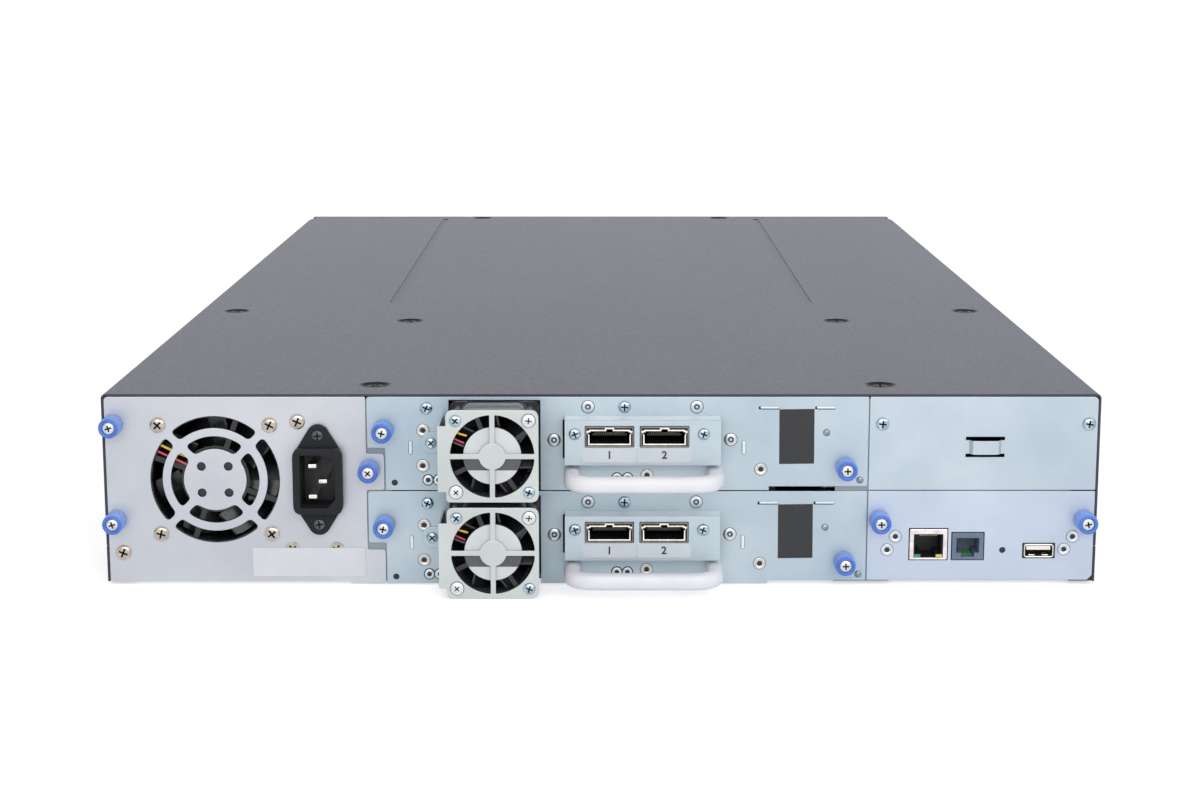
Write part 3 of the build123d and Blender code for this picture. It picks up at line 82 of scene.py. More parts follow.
def newFinish(name, **sockets):
    finish = bpy.data.materials.new(name)
    finish.use_nodes = True
    tree = finish.node_tree
    tree.nodes.clear()
    values = {key.replace("_", " "): value for key, value in sockets.items()}
    skin = addNode(tree, "ShaderNodeBsdfPrincipled", values)
    addNode(tree, "ShaderNodeOutputMaterial", links={"Surface": skin})
    place = addNode(tree, "ShaderNodeTexCoord").outputs["Object"]
    return finish, tree, skin, place


# the skin's colour goes from the first shade to the second as the share goes from 0 to 1
def shadeBetween(tree, skin, first, second, share):
    shades = {6: colourOf(first), 7: colourOf(second)}
    mixed = addNode(tree, "ShaderNodeMix", shades, {0: share}, data_type="RGBA")
    tree.links.new(mixed.outputs[2], skin.inputs["Base Color"])


# a slow drift between two shades
def drift(tree, skin, place, first, second, sizeMm, stretch=(1, 1, 1)):
    drawn = addNode(tree, "ShaderNodeMapping", {"Scale": stretch}, {"Vector": place})
    cloud = addNode(tree, "ShaderNodeTexNoise", {"Scale": 1000 / sizeMm, "Detail": 4.0, "Roughness": 0.55},
                    {"Vector": drawn})
    spread = addNode(tree, "ShaderNodeMapRange", {"From Min": 0.33, "From Max": 0.67}, {"Value": cloud})
    shadeBetween(tree, skin, first, second, spread)


# fine grain: the roughness wanders between two values and the surface is faintly bumped
def grain(tree, skin, place, sizeMm, smooth, rough, heightMm, stretch=(1, 1, 1)):
    drawn = addNode(tree, "ShaderNodeMapping", {"Scale": stretch}, {"Vector": place})
    speck = addNode(tree, "ShaderNodeTexNoise", {"Scale": 1000 / sizeMm, "Detail": 2.0}, {"Vector": drawn})
    span = {"From Min": 0.3, "From Max": 0.7, "To Min": smooth, "To Max": rough}
    spread = addNode(tree, "ShaderNodeMapRange", span, {"Value": speck})
    tree.links.new(spread.outputs[0], skin.inputs["Roughness"])
    bump = addNode(tree, "ShaderNodeBump", {"Strength": 1.0, "Distance": heightMm / 1000}, {"Height": speck})
    tree.links.new(bump.outputs[0], skin.inputs["Normal"])


# zinc-plated cold-rolled sheet: a soft metal sheen with rolling marks and slow clouds in the passivation
def zincSheet(name, pale, shade, rolled=(0.12, 1, 1), metallic=0.45):
    finish, tree, skin, place = newFinish(name, Metallic=metallic)
    drift(tree, skin, place, pale, shade, 46)
    grain(tree, skin, place, 1.6, 0.33, 0.43, 0.003, rolled)
    return finish


# polyester powder coat: charcoal with a fine orange peel, and a cool bloom where it is seen at a low angle
def powderCoat(name, pale, shade, smooth=0.36, rough=0.50):
    finish, tree, skin, place = newFinish(name, IOR=1.5, Specular_IOR_Level=0.12, Sheen_Weight=0.22,
                                          Sheen_Roughness=0.3, Sheen_Tint=(0.76, 0.83, 1.0, 1.0))
    drift(tree, skin, place, pale, shade, 120, (1, 0.35, 1))
    grain(tree, skin, place, 1.4, smooth, rough, 0.009)
    return finish


# moulded plastic: even colour, a low sheen and a spark-eroded texture about a millimetre wide
def mouldedPlastic(name, pale, shade, smooth=0.38, rough=0.52, textureMm=0.9, shine=0.5):
    finish, tree, skin, place = newFinish(name, IOR=1.49, Specular_IOR_Level=shine)
    drift(tree, skin, place, pale, shade, 24)
    grain(tree, skin, place, textureMm, smooth, rough, 0.006)
    return finish


# plated small steel: bright, with the roughness of tumbled barrel plating
def platedSteel(name, pale, shade, smooth=0.18, rough=0.34):
    finish, tree, skin, place = newFinish(name, Metallic=1.0)
    drift(tree, skin, place, pale, shade, 3)
    grain(tree, skin, place, 0.8, smooth, rough, 0.004)
    return finish


# printed polyester film: flat even colour under a satin top coat
def labelFilm(name, pale, shade):
    finish, tree, skin, place = newFinish(name, IOR=1.5)
    drift(tree, skin, place, pale, shade, 18)
    grain(tree, skin, place, 2.0, 0.42, 0.55, 0.002)
    return finish


coverPaint = powderCoat("charcoal_powder_coat", "#41424c", "#494a54", 0.34, 0.44)
panPaint = powderCoat("charcoal_powder_coat_pan", "#3c3c42", "#45454c")
sledZinc = zincSheet("zinc_plated_sled_sheet", "#bac6cd", "#a7b8c2")
# a paler copy of the sled's zinc for lips, lances and the bracket's top flange: painted highlight for the
# light they catch from above
zincLipHighlight = zincSheet("zinc_lip_painted_highlight", "#e6eff4", "#dae5eb", metallic=0.1)
psuZinc = zincSheet("zinc_plated_psu_sheet", "#c4c7cc", "#b8bbc1")
panelZinc = zincSheet("zinc_plated_controller_sheet", "#c0cad7", "#b3becd")
plateZinc = zincSheet("zinc_plated_blank_plate", "#bcc8d0", "#adbac5")
bayZinc = zincSheet("shaded_bay_sheet", "#8d969d", "#7b848b")
driveSteel = zincSheet("bright_drive_housing_sheet", "#b9bec2", "#a7adb3", (1, 0.12, 1))
guardCoat = zincSheet("nickel_plated_guard_plate", "#c8cdcc", "#bbc0be")
railSteel = zincSheet("drawn_steel_rail", "#b5bcc2", "#a3abb3", (1, 0.1, 1))
nickelScrew = platedSteel("nickel_plated_screw", "#bfb5aa", "#a1968a")
zincScrew = platedSteel("zinc_plated_screw", "#bccbd3", "#8499a5", 0.12, 0.26)
# dark steel for the inside of a cross recess: its darkness is painted shade
recessShade = platedSteel("cross_recess_painted_shade", "#2c3438", "#20272b", 0.4, 0.6)
seamShade = mouldedPlastic("shaded_seam", "#3f464a", "#363c40", 0.6, 0.8)
paleScrew = platedSteel("dull_nickel_screw", "#d3d6d6", "#c0c3c4", 0.36, 0.5)
blackScrew = platedSteel("black_oxide_screw", "#2b2b2e", "#1c1c1f", 0.3, 0.45)
earScrew = platedSteel("dark_ear_screw", "#5c5d64", "#4b4c53", 0.4, 0.55)
coreSteel = platedSteel("turned_steel_core", "#d3d6d8", "#b9bec2", 0.25, 0.4)
rivetSteel = platedSteel("pressed_rivet_steel", "#cbd0d5", "#b2bac1", 0.28, 0.42)
nutSteel = platedSteel("clinch_nut_steel", "#cdcbc6", "#b3b2ae", 0.3, 0.45)
studSteel = platedSteel("dowel_pin_steel", "#98a1a9", "#737d86", 0.25, 0.4)
contactSteel = platedSteel("bright_contact_plating", "#e8e6df", "#c9c5ba", 0.12, 0.26)
goldContact = platedSteel("gold_flashed_contact", "#e2c27a", "#c9a45a", 0.14, 0.26)
# a darker copy of the nickel for the port cages: painted shade on the bezel round each port
cageNickelShade = platedSteel("nickel_port_cage_painted_shade", "#8f8b83", "#757169", 0.3, 0.46)
lipNickel = platedSteel("bright_port_lip", "#f0ece2", "#dcd7cc", 0.2, 0.34)
shieldTin = platedSteel("tin_plated_jack_shield", "#e6dcdc", "#cfc4c6", 0.24, 0.4)
# two copies of the knob's blue nylon: the knurled side lighter as painted light from above, the end deeper as
# painted shade
knobSideLit = mouldedPlastic("blue_knob_nylon", "#7da5ee", "#6b96e4", 0.3, 0.42)
knobEndShade = mouldedPlastic("blue_knob_end_painted_shade", "#4a78dc", "#3f6ace", 0.3, 0.42)
# the fan's barrel is the same black plastic with a lower roughness, and its lighter grey is a painted sheen
barrelGlossSheen = mouldedPlastic("fan_barrel_gloss_painted_sheen", "#55565e", "#484950", 0.14, 0.24)
fanBlack = mouldedPlastic("black_fan_plastic", "#202126", "#17181c", 0.2, 0.32)
boxBlack = mouldedPlastic("black_socket_plastic", "#15161a", "#0e0f12", 0.4, 0.55)
inletPlastic = mouldedPlastic("grey_inlet_nylon", "#26282d", "#202226", 0.46, 0.6, shine=0.15)
serialPlastic = mouldedPlastic("slate_jack_plastic", "#6a778a", "#59667a")
ivoryPlastic = mouldedPlastic("ivory_tongue_plastic", "#f6f3ec", "#ece7dd")
handlePaint = mouldedPlastic("white_handle_nylon", "#eaeaee", "#e0e0e5", 0.4, 0.52, 1.2)
bezelPlastic = mouldedPlastic("charcoal_bezel_plastic", "#35363b", "#2c2d32", 0.42, 0.56)
keyPlastic = mouldedPlastic("grey_key_plastic", "#9da1a8", "#8e9299", 0.4, 0.5)
magazinePlastic = mouldedPlastic("grey_magazine_plastic", "#63666c", "#5d6066", 0.44, 0.58)
mailPlastic = mouldedPlastic("dark_mail_slot_plastic", "#44474d", "#3f4248", 0.44, 0.58)
pickerPlastic = mouldedPlastic("black_picker_plastic", "#2a2c30", "#202226", 0.42, 0.56)
gearPlastic = mouldedPlastic("white_acetal_gear", "#ece9df", "#dedbd0", 0.3, 0.4)
paleFilm = labelFilm("white_label_film", "#d9dbdf", "#d1d3d8")
padFilm = labelFilm("grey_pad_print", "#cdd3d9", "#c4cad1")
hubFilm = labelFilm("silver_hub_label", "#d3d8d8", "#c8cdcf")
darkFilm = labelFilm("dark_label_film", "#1d1e22", "#18191c")
greyFilm = labelFilm("grey_band_print", "#56575c", "#4d4e53")
inkPrint = labelFilm("dark_ink_print", "#2f3035", "#28292d")
redWire = mouldedPlastic("red_wire_insulation", "#c8484a", "#b33a3e", 0.34, 0.44)
yellowWire = mouldedPlastic("yellow_wire_insulation", "#f0bf2e", "#e0ab1c", 0.34, 0.44)
greyWire = mouldedPlastic("grey_wire_insulation", "#53555f", "#42444e", 0.34, 0.44)
greenLamp = mouldedPlastic("green_lamp_lens", "#3f9e62", "#2f8a50", 0.2, 0.3)
yellowLamp = mouldedPlastic("yellow_lamp_lens", "#e2d05a", "#cdb83f", 0.2, 0.3)


# printed circuit board: green solder mask over a faint mesh of tracks 1.6 mm apart
def solderMask():
    finish, tree, skin, place = newFinish("green_solder_mask", IOR=1.5)
    tracks = addNode(tree, "ShaderNodeTexVoronoi", {"Scale": 1000 / 1.6}, {"Vector": place},
                     distance="CHEBYCHEV")
    edge = addNode(tree, "ShaderNodeMapRange", {"From Min": 0.3, "From Max": 0.5}, {"Value": tracks})
    shadeBetween(tree, skin, "#2f6b48", "#23553a", edge)
    grain(tree, skin, place, 1.2, 0.28, 0.4, 0.01)
    return finish


# tinted acrylic: almost black, with the gloss of a window
def displayWindow():
    finish, tree, skin, place = newFinish("tinted_display_acrylic", IOR=1.49, Coat_Weight=0.6)
    drift(tree, skin, place, "#14181c", "#1a2026", 30)
    grain(tree, skin, place, 6.0, 0.05, 0.1, 0.001)
    return finish


boardGreen = solderMask()
windowTint = displayWindow()
print("tape library: finishes ready")


# ---- shapes in millimetres, in the row frame; a loop holds X and Z, or X and Y where the stock lies flat

# points nearer than this are joined; faces that meet under the flat angle become one, and only edges over the
# sharp angle are eased
weldMm, cadWeldMm = 0.0008, 0.002
flatDegrees, sharpDegrees = 0.6, 50


def ringOf(x, z, r, sides=32):
    angles = [2 * pi * i / sides for i in range(sides)]
    return [(x + r * cos(a), z + r * sin(a)) for a in angles]


# a loop with its corners rounded, by one radius or by one for each corner
def softLoop(points, radius, steps=4):
    made = []
    for i, corner in enumerate(points):
        here = Vector(corner)
        before, after = Vector(points[i - 1]) - here, Vector(points[(i + 1) % len(points)]) - here
        r = radius[i] if isinstance(radius, (list, tuple)) else radius
        r = min(r, before.length * 0.45, after.length * 0.45)
        if r < 0.02:
            made.append(tuple(here))
            continue
        start, end = here + before.normalized() * r, here + after.normalized() * r
        for k in range(steps + 1):
            t = k / steps
            made.append(tuple((1 - t) ** 2 * start + 2 * t * (1 - t) * here + t * t * end))
    return made


def rectLoop(x0, x1, z0, z1, radius=0.0):
    points = [(x0, z0), (x1, z0), (x1, z1), (x0, z1)]
    return softLoop(points, radius) if radius else points


# the same, about a middle
def centredLoop(x, z, width, height, radius=0.0):
    return rectLoop(x - width / 2, x + width / 2, z - height / 2, z + height / 2, radius)


def fourCorners(reach, rise=None):
    rise = reach if rise is None else rise
    return [(a, b) for a in (-reach, reach) for b in (-rise, rise)]


# points on a face that looks to the rear, each given by its X and Z from a corner or a middle
def spotsAt(x, y, z, offsets):
    return [(x + u, y, z + v) for u, v in offsets]


# what an object becomes with its modifiers or its curve settings, as a bmesh; the object is then removed
def formOf(holder):
    if holder.name not in scene.collection.objects:
        scene.collection.objects.link(holder)
    bpy.context.view_layer.update()
    flat = bpy.data.meshes.new_from_object(holder.evaluated_get(bpy.context.evaluated_depsgraph_get()))
    bm = bmesh.new()
    bm.from_mesh(flat)
    bpy.data.objects.remove(holder)
    bpy.data.meshes.remove(flat)
    return bm


def merged(bm):
    bmesh.ops.remove_doubles(bm, verts=bm.verts[:], dist=weldMm)
    bmesh.ops.recalc_face_normals(bm, faces=bm.faces[:])
    return bm


# flat stock cut to loops, with its edges eased; upright it stands in X and Z, else it lies in X and Y
def cutStock(loops, start, end, ease=0.15, upright=True):
    thick = abs(end - start)
    curve = bpy.data.curves.new("stockOutline", "CURVE")
    curve.dimensions = "2D"
    curve.fill_mode = "BOTH"
    curve.extrude = thick / 2 - ease
    curve.bevel_depth = ease
    curve.bevel_resolution = 1
    curve.offset = -ease
    for loop in loops:
        spline = curve.splines.new("POLY")
        spline.points.add(len(loop) - 1)
        for point, (u, v) in zip(spline.points, loop):
            point.co = (u, v, 0, 1)
        spline.use_cyclic_u = True
    bm = merged(formOf(bpy.data.objects.new("stockOutline", curve)))
    middle = (start + end) / 2
    if upright:
        bm.transform(Matrix.Translation((0, middle, 0)) @ Matrix.Rotation(pi / 2, 4, "X"))
    else:
        bm.transform(Matrix.Translation((0, 0, middle)))
    return bm


def softBox(x0, x1, y0, y1, z0, z1, ease=0.2, segments=2):
    bm = bmesh.new()
    bmesh.ops.create_cube(bm, size=1.0)
    bmesh.ops.scale(bm, vec=(abs(x1 - x0), abs(y1 - y0), abs(z1 - z0)), verts=bm.verts[:])
    if ease:
        bmesh.ops.bevel(bm, geom=bm.edges[:], offset=ease, segments=segments, profile=0.5, affect="EDGES")
    bmesh.ops.translate(bm, vec=((x0 + x1) / 2, (y0 + y1) / 2, (z0 + z1) / 2), verts=bm.verts[:])
    return merged(bm)


# the same, about a middle in X and Z
def boxAt(x, z, width, height, y0, y1, ease, segments=2):
    return softBox(x - width / 2, x + width / 2, y0, y1, z - height / 2, z + height / 2, ease, segments)


# the same shape with a box cut away
def lessBox(bm, *corners):
    blanks = []
    for name, form in (("blank", bm), ("cutter", softBox(*corners, ease=0))):
        mesh = bpy.data.meshes.new(name)
        form.to_mesh(mesh)
        form.free()
        blanks.append(bpy.data.objects.new(name, mesh))
        scene.collection.objects.link(blanks[-1])
    less = blanks[0].modifiers.new("less", "BOOLEAN")
    less.operation, less.solver, less.object = "DIFFERENCE", "EXACT", blanks[1]
    made = formOf(blanks[0])
    bpy.data.objects.remove(blanks[1])
    return made


# the CAD mesh of a node in millimetres, with its doubled points joined
def weldedNode(node):
    bm = bmesh.new()
    bm.from_mesh(nodes[node].data)
    bmesh.ops.scale(bm, vec=(1000, 1000, 1000), verts=bm.verts[:])
    bmesh.ops.remove_doubles(bm, verts=bm.verts[:], dist=cadWeldMm)
    return bm


# the CAD mesh of a node with its long sharp edges eased
def easedNode(node, ease, shortest=4.0):
    bm = weldedNode(node)
    bmesh.ops.dissolve_limit(bm, angle_limit=radians(flatDegrees), verts=bm.verts[:], edges=bm.edges[:])
    if ease:
        sharp = [edge for edge in bm.edges if edge.is_manifold and edge.calc_length() > shortest
                 and edge.calc_face_angle(0) > radians(sharpDegrees)]
        bmesh.ops.bevel(bm, geom=sharp, offset=ease, segments=2, profile=0.5, affect="EDGES",
                        clamp_overlap=True)
    return bm


# what stands behind a module's rear panel: the CAD mesh cut off just inside the panel and closed there
def behindPanel(node, y):
    bm = weldedNode(node)
    found = bmesh.ops.bisect_plane(bm, geom=bm.verts[:] + bm.edges[:] + bm.faces[:], plane_co=(0, y, 0),
                                   plane_no=(0, 1, 0), clear_inner=True)
    cut = [item for item in found["geom_cut"] if isinstance(item, bmesh.types.BMEdge)]
    bmesh.ops.triangle_fill(bm, use_beauty=True, edges=cut, normal=(0, -1, 0))
    return bm


sheet = {"thick": 1.05, "lap": 0.03}    # a rear panel, and how far the case behind it laps into it


# a module's rear panel, cut from sheet, and the rest of its CAD case
def facedCase(node, loops, rear, ease, finish):
    inside = rear + sheet["thick"]
    return [(cutStock(loops, rear, inside, ease), finish), (behindPanel(node, inside - sheet["lap"]), finish)]


# a bar swept along a path in the X-Y plane at height z, with a rounded section
def sweptBar(path, z, width, soft):
    section = softLoop(centredLoop(0, 0, width, width), soft, 5)
    bm = bmesh.new()
    rings = []
    for i, (x, y) in enumerate(path):
        before = Vector(path[max(i - 1, 0)])
        after = Vector(path[min(i + 1, len(path) - 1)])
        along = (after - before).normalized()
        side = Vector((along.y, -along.x))
        rings.append([bm.verts.new((x + side.x * a, y + side.y * a, z + b)) for a, b in section])
    for first, second in zip(rings, rings[1:]):
        for k in range(len(section)):
            bm.faces.new((first[k - 1], first[k], second[k], second[k - 1]))
    bm.faces.new(rings[0])
    bm.faces.new(rings[-1])
    return merged(bm)


# wire along smooth points, as a tube
def wireTube(points, radius):
    curve = bpy.data.curves.new("wireLine", "CURVE")
    curve.dimensions = "3D"
    curve.bevel_depth = radius
    curve.bevel_resolution = 2
    curve.use_fill_caps = True
    spline = curve.splines.new("NURBS")
    spline.points.add(len(points) - 1)
    for point, place in zip(spline.points, points):
        point.co = (*place, 1)
    spline.order_u = 3
    spline.use_endpoint_u = True
    spline.resolution_u = 6
    return merged(formOf(bpy.data.objects.new("wireLine", curve)))


# plain numerals, cut from thin film and made a little bolder, on a face that looks to the rear
def numeral(text, x, z, y, size):
    curve = bpy.data.curves.new("numeralShape", "FONT")
    curve.body = text
    curve.size = size
    curve.align_x, curve.align_y = "CENTER", "CENTER"
    curve.extrude = 0.02
    curve.offset = 0.14
    bm = formOf(bpy.data.objects.new("numeralShape", curve))
    bm.transform(Matrix.Translation((x, y, z)) @ Matrix.Rotation(pi / 2, 4, "X"))
    return merged(bm)


# faces shade smoothly into each other, but not over an edge sharper than the angle
def smoothFaces(bm, smoothUnder):
    for face in bm.faces:
        face.smooth = True
    for edge in bm.edges:
        edge.smooth = edge.is_manifold and edge.calc_face_angle(0) < radians(smoothUnder)


# a finished mesh as a piece that rides on a body; it may stand for CAD nodes
def keepPiece(name, mesh, body, stands):
    piece = bpy.data.objects.new(name, mesh)
    scene.collection.objects.link(piece)
    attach(piece, body)
    if stands:
        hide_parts(*stands)
    return piece


# one piece from its shapes: each is a bmesh and its finish
def makePiece(name, shapes, body, stands=(), smoothUnder=35):
    mesh = bpy.data.meshes.new(name)
    whole = bmesh.new()
    for bm, finish in shapes:
        if finish.name not in mesh.materials:
            mesh.materials.append(finish)
        index = mesh.materials.find(finish.name)
        for face in bm.faces:
            face.material_index = index
        smoothFaces(bm, smoothUnder)
        part = bpy.data.meshes.new("part")
        bm.to_mesh(part)
        bm.free()
        whole.from_mesh(part)
        bpy.data.meshes.remove(part)
    bmesh.ops.scale(whole, vec=(0.001, 0.001, 0.001), verts=whole.verts[:])
    whole.to_mesh(mesh)
    whole.free()
    piece = keepPiece(name, mesh, body, stands)
    even = piece.modifiers.new("evenShading", "WEIGHTED_NORMAL")    # small bend faces don't tilt a flat
    even.keep_sharp = True


# ---- Geometry Nodes: what repeats

def newTree(name, **sockets):
    tree = bpy.data.node_groups.new(name, "GeometryNodeTree")
    tree.interface.new_socket("Geometry", in_out="INPUT", socket_type="NodeSocketGeometry")
    for kind, labels in sockets.items():
        for label in labels:
            tree.interface.new_socket(label, in_out="INPUT", socket_type="NodeSocket" + kind)
    tree.interface.new_socket("Geometry", in_out="OUTPUT", socket_type="NodeSocketGeometry")
    return tree, addNode(tree, "NodeGroupInput").outputs


def partsOf(tree, vector):
    return addNode(tree, "ShaderNodeSeparateXYZ", links={0: vector}).outputs


# instances of a shape at the host's points, turned to face a way and spun at random about that axis; faces
# that carry the mark take the recess finish, a dark colour that paints the shade inside the recess
def placeAll(tree, given, shape, mark=None):
    chance = addNode(tree, "FunctionNodeRandomValue", {2: 0.0, 3: 2 * pi}, {"Seed": given["Seed"]},
                     data_type="FLOAT")
    spin = addNode(tree, "ShaderNodeCombineXYZ", links={"Z": chance.outputs[1]})
    turned = addNode(tree, "FunctionNodeRotateEuler", links={"Rotation": given["Facing"], "Rotate By": spin},
                     space="LOCAL")
    put = addNode(tree, "GeometryNodeInstanceOnPoints",
                  links={"Points": given["Geometry"], "Instance": shape, "Rotation": turned})
    real = addNode(tree, "GeometryNodeRealizeInstances", links={"Geometry": put})
    done = addNode(tree, "GeometryNodeSetMaterial", links={"Geometry": real, "Material": given["Finish"]})
    if mark:
        chosen = addNode(tree, "GeometryNodeInputNamedAttribute", {"Name": mark}, data_type="BOOLEAN")
        shaded = addNode(tree, "GeometryNodeSetMaterial",
                         links={"Geometry": done, "Selection": chosen, "Material": given["Recess"]})
        done = addNode(tree, "GeometryNodeRemoveAttribute", {"Name": mark}, {"Geometry": shaded})
    addNode(tree, "NodeGroupOutput", links={"Geometry": done})


# pan head with a cross recess: a sphere with a flattened top and its lower half pressed flat, less two bars;
# the faces within the cross's reach and below the crown are marked as its recess, which is painted dark as
# its shade
def crossHeadTree():
    flatness, crownShare = 0.55, 0.8
    tree, given = newTree("crossHeads", Float=("Head Radius", "Head Height", "Cross Reach", "Cross Width",
                                               "Cross Depth"),
                          Vector=("Facing",), Int=("Seed",), Material=("Finish", "Recess"))
    ball = addNode(tree, "GeometryNodeMeshUVSphere", {"Segments": 24, "Rings": 12, "Radius": 1.0})
    where = partsOf(tree, addNode(tree, "GeometryNodeInputPosition"))
    wide = maths(tree, "MULTIPLY", where[0], given["Head Radius"])
    deep = maths(tree, "MULTIPLY", where[1], given["Head Radius"])
    flat = maths(tree, "POWER", maths(tree, "MAXIMUM", where[2], 0.0), flatness)
    tall = maths(tree, "MULTIPLY", flat, given["Head Height"])
    spot = addNode(tree, "ShaderNodeCombineXYZ", links={"X": wide, "Y": deep, "Z": tall})
    head = addNode(tree, "GeometryNodeSetPosition", links={"Geometry": ball, "Position": spot})
    span = maths(tree, "MULTIPLY", given["Cross Reach"], 2.0)
    down = maths(tree, "MULTIPLY", given["Cross Depth"], 2.0)
    lift = addNode(tree, "ShaderNodeCombineXYZ", links={"Z": given["Head Height"]})
    cut = addNode(tree, "GeometryNodeMeshBoolean", links={"Mesh 1": head}, operation="DIFFERENCE")
    for first, second in ((span, given["Cross Width"]), (given["Cross Width"], span)):
        size = addNode(tree, "ShaderNodeCombineXYZ", links={"X": first, "Y": second, "Z": down})
        bar = addNode(tree, "GeometryNodeMeshCube", links={"Size": size})
        raised = addNode(tree, "GeometryNodeTransform", links={"Geometry": bar, "Translation": lift})
        tree.links.new(raised.outputs[0], cut.inputs["Mesh 2"])
    place = partsOf(tree, addNode(tree, "GeometryNodeInputPosition"))
    ground = addNode(tree, "ShaderNodeCombineXYZ", links={"X": place[0], "Y": place[1]})
    away = addNode(tree, "ShaderNodeVectorMath", links={0: ground}, operation="LENGTH").outputs["Value"]
    crown = maths(tree, "MULTIPLY", given["Head Height"], crownShare)
    inside = addNode(tree, "FunctionNodeCompare", links={0: away, 1: given["Cross Reach"]},
                     operation="LESS_EQUAL")
    below = addNode(tree, "FunctionNodeCompare", links={0: place[2], 1: crown}, operation="LESS_THAN")
    both = addNode(tree, "FunctionNodeBooleanMath", links={0: inside, 1: below}, operation="AND")
    marked = addNode(tree, "GeometryNodeStoreNamedAttribute", {"Name": "recess"},
                     {"Geometry": cut, "Value": both}, data_type="BOOLEAN", domain="FACE")
    placeAll(tree, given, marked, "recess")
    return tree


# a turned part: the profile's points hold radius in X, the knurl's share there in Y, and height in Z
def turnedTree():
    tree, given = newTree("turnedParts", Object=("Profile",), Int=("Sides", "Knurls", "Seed"),
                          Float=("Knurl Depth",), Vector=("Facing",), Material=("Finish",))
    profile = addNode(tree, "GeometryNodeObjectInfo", links={"Object": given["Profile"]}).outputs["Geometry"]
    tally = addNode(tree, "GeometryNodeAttributeDomainSize", links={"Geometry": profile})
    rows = tally.outputs["Point Count"]
    columns = maths(tree, "ADD", given["Sides"], 1.0)
    skin = addNode(tree, "GeometryNodeMeshGrid", links={"Vertices X": columns, "Vertices Y": rows})
    index = addNode(tree, "GeometryNodeInputIndex")
    column = maths(tree, "FLOOR", maths(tree, "DIVIDE", index, rows))
    row = maths(tree, "SUBTRACT", index, maths(tree, "MULTIPLY", column, rows))
    place = addNode(tree, "GeometryNodeInputPosition")
    point = addNode(tree, "GeometryNodeSampleIndex",
                    links={"Geometry": profile, "Value": place, "Index": row}, data_type="FLOAT_VECTOR")
    parts = partsOf(tree, point)
    angle = maths(tree, "MULTIPLY", maths(tree, "DIVIDE", column, given["Sides"]), 2 * pi)
    ridge = maths(tree, "COSINE", maths(tree, "MULTIPLY", angle, given["Knurls"]))
    depth = maths(tree, "MULTIPLY", maths(tree, "MULTIPLY", ridge, parts[1]), given["Knurl Depth"])
    radius = maths(tree, "ADD", parts[0], depth)
    across = maths(tree, "MULTIPLY", maths(tree, "COSINE", angle), radius)
    along = maths(tree, "MULTIPLY", maths(tree, "SINE", angle), radius)
    spot = addNode(tree, "ShaderNodeCombineXYZ", links={"X": across, "Y": along, "Z": parts[2]})
    bent = addNode(tree, "GeometryNodeSetPosition", links={"Geometry": skin, "Position": spot})
    closed = addNode(tree, "GeometryNodeMergeByDistance", {"Distance": 0.000002}, {"Geometry": bent})
    placeAll(tree, given, closed)
    return tree


# rows of small bars, such as contacts: each host point starts a row
def barRowTree():
    tree, given = newTree("barRows", Int=("Count",), Vector=("Step", "Bar Size"), Material=("Finish",))
    line = addNode(tree, "GeometryNodeMeshLine", links={"Count": given["Count"], "Offset": given["Step"]})
    bar = addNode(tree, "GeometryNodeMeshCube", links={"Size": given["Bar Size"]})
    row = addNode(tree, "GeometryNodeInstanceOnPoints", links={"Points": line, "Instance": bar})
    solid = addNode(tree, "GeometryNodeRealizeInstances", links={"Geometry": row})
    put = addNode(tree, "GeometryNodeInstanceOnPoints",
                  links={"Points": given["Geometry"], "Instance": solid})
    real = addNode(tree, "GeometryNodeRealizeInstances", links={"Geometry": put})
    done = addNode(tree, "GeometryNodeSetMaterial", links={"Geometry": real, "Material": given["Finish"]})
    addNode(tree, "NodeGroupOutput", links={"Geometry": done})
    return tree


# a mesh object that holds only points
def pointHolder(name, points):
    mesh = bpy.data.meshes.new(name)
    mesh.from_pydata(points, [], [])
    holder = bpy.data.objects.new(name, mesh)
    scene.collection.objects.link(holder)
    return holder


# grows a tree on points given in mm and keeps the result as one plain piece
def growPiece(name, tree, places, settings, body, slotName=None, stands=(), smoothUnder=35):
    holder = pointHolder(name + "_points", [[c / 1000 for c in p] for p in places])
    grower = holder.modifiers.new("grow", "NODES")
    grower.node_group = tree
    sockets = {item.name: item.identifier for item in tree.interface.items_tree if item.in_out == "INPUT"}
    for label, value in settings.items():
        grower[sockets[label]] = value
    holder.update_tag()
    bpy.context.view_layer.update()
    mesh = bpy.data.meshes.new_from_object(holder.evaluated_get(bpy.context.evaluated_depsgraph_get()))
    bpy.data.objects.remove(holder)
    bm = bmesh.new()
    bm.from_mesh(mesh)
    bmesh.ops.recalc_face_normals(bm, faces=bm.faces[:])
    smoothFaces(bm, smoothUnder)
    bm.to_mesh(mesh)
    bm.free()
    mesh.name = name
    return keepPiece(name, mesh, body, stands)


crossHeads = crossHeadTree()
turnedParts = turnedTree()
barRows = barRowTree()
toRear = (pi / 2, 0.0, 0.0)     # a part made along +Z then looks along -Y
toTop = (0.0, 0.0, 0.0)


# the cross is given as shares of the head: reach and width of its radius, depth of its height
def screwHeads(name, places, body, finish, radius, height, facing=toRear, seed=3, reach=0.6, wide=0.25,
               **more):
    # the recess finish paints the shade inside the cross
    settings = {"Head Radius": radius / 1000, "Head Height": height / 1000,
                "Cross Reach": radius * reach / 1000, "Cross Width": radius * wide / 1000,
                "Cross Depth": height * 0.85 / 1000, "Facing": facing, "Seed": seed, "Finish": finish,
                "Recess": recessShade}
    growPiece(name, crossHeads, places, settings, body, **more)


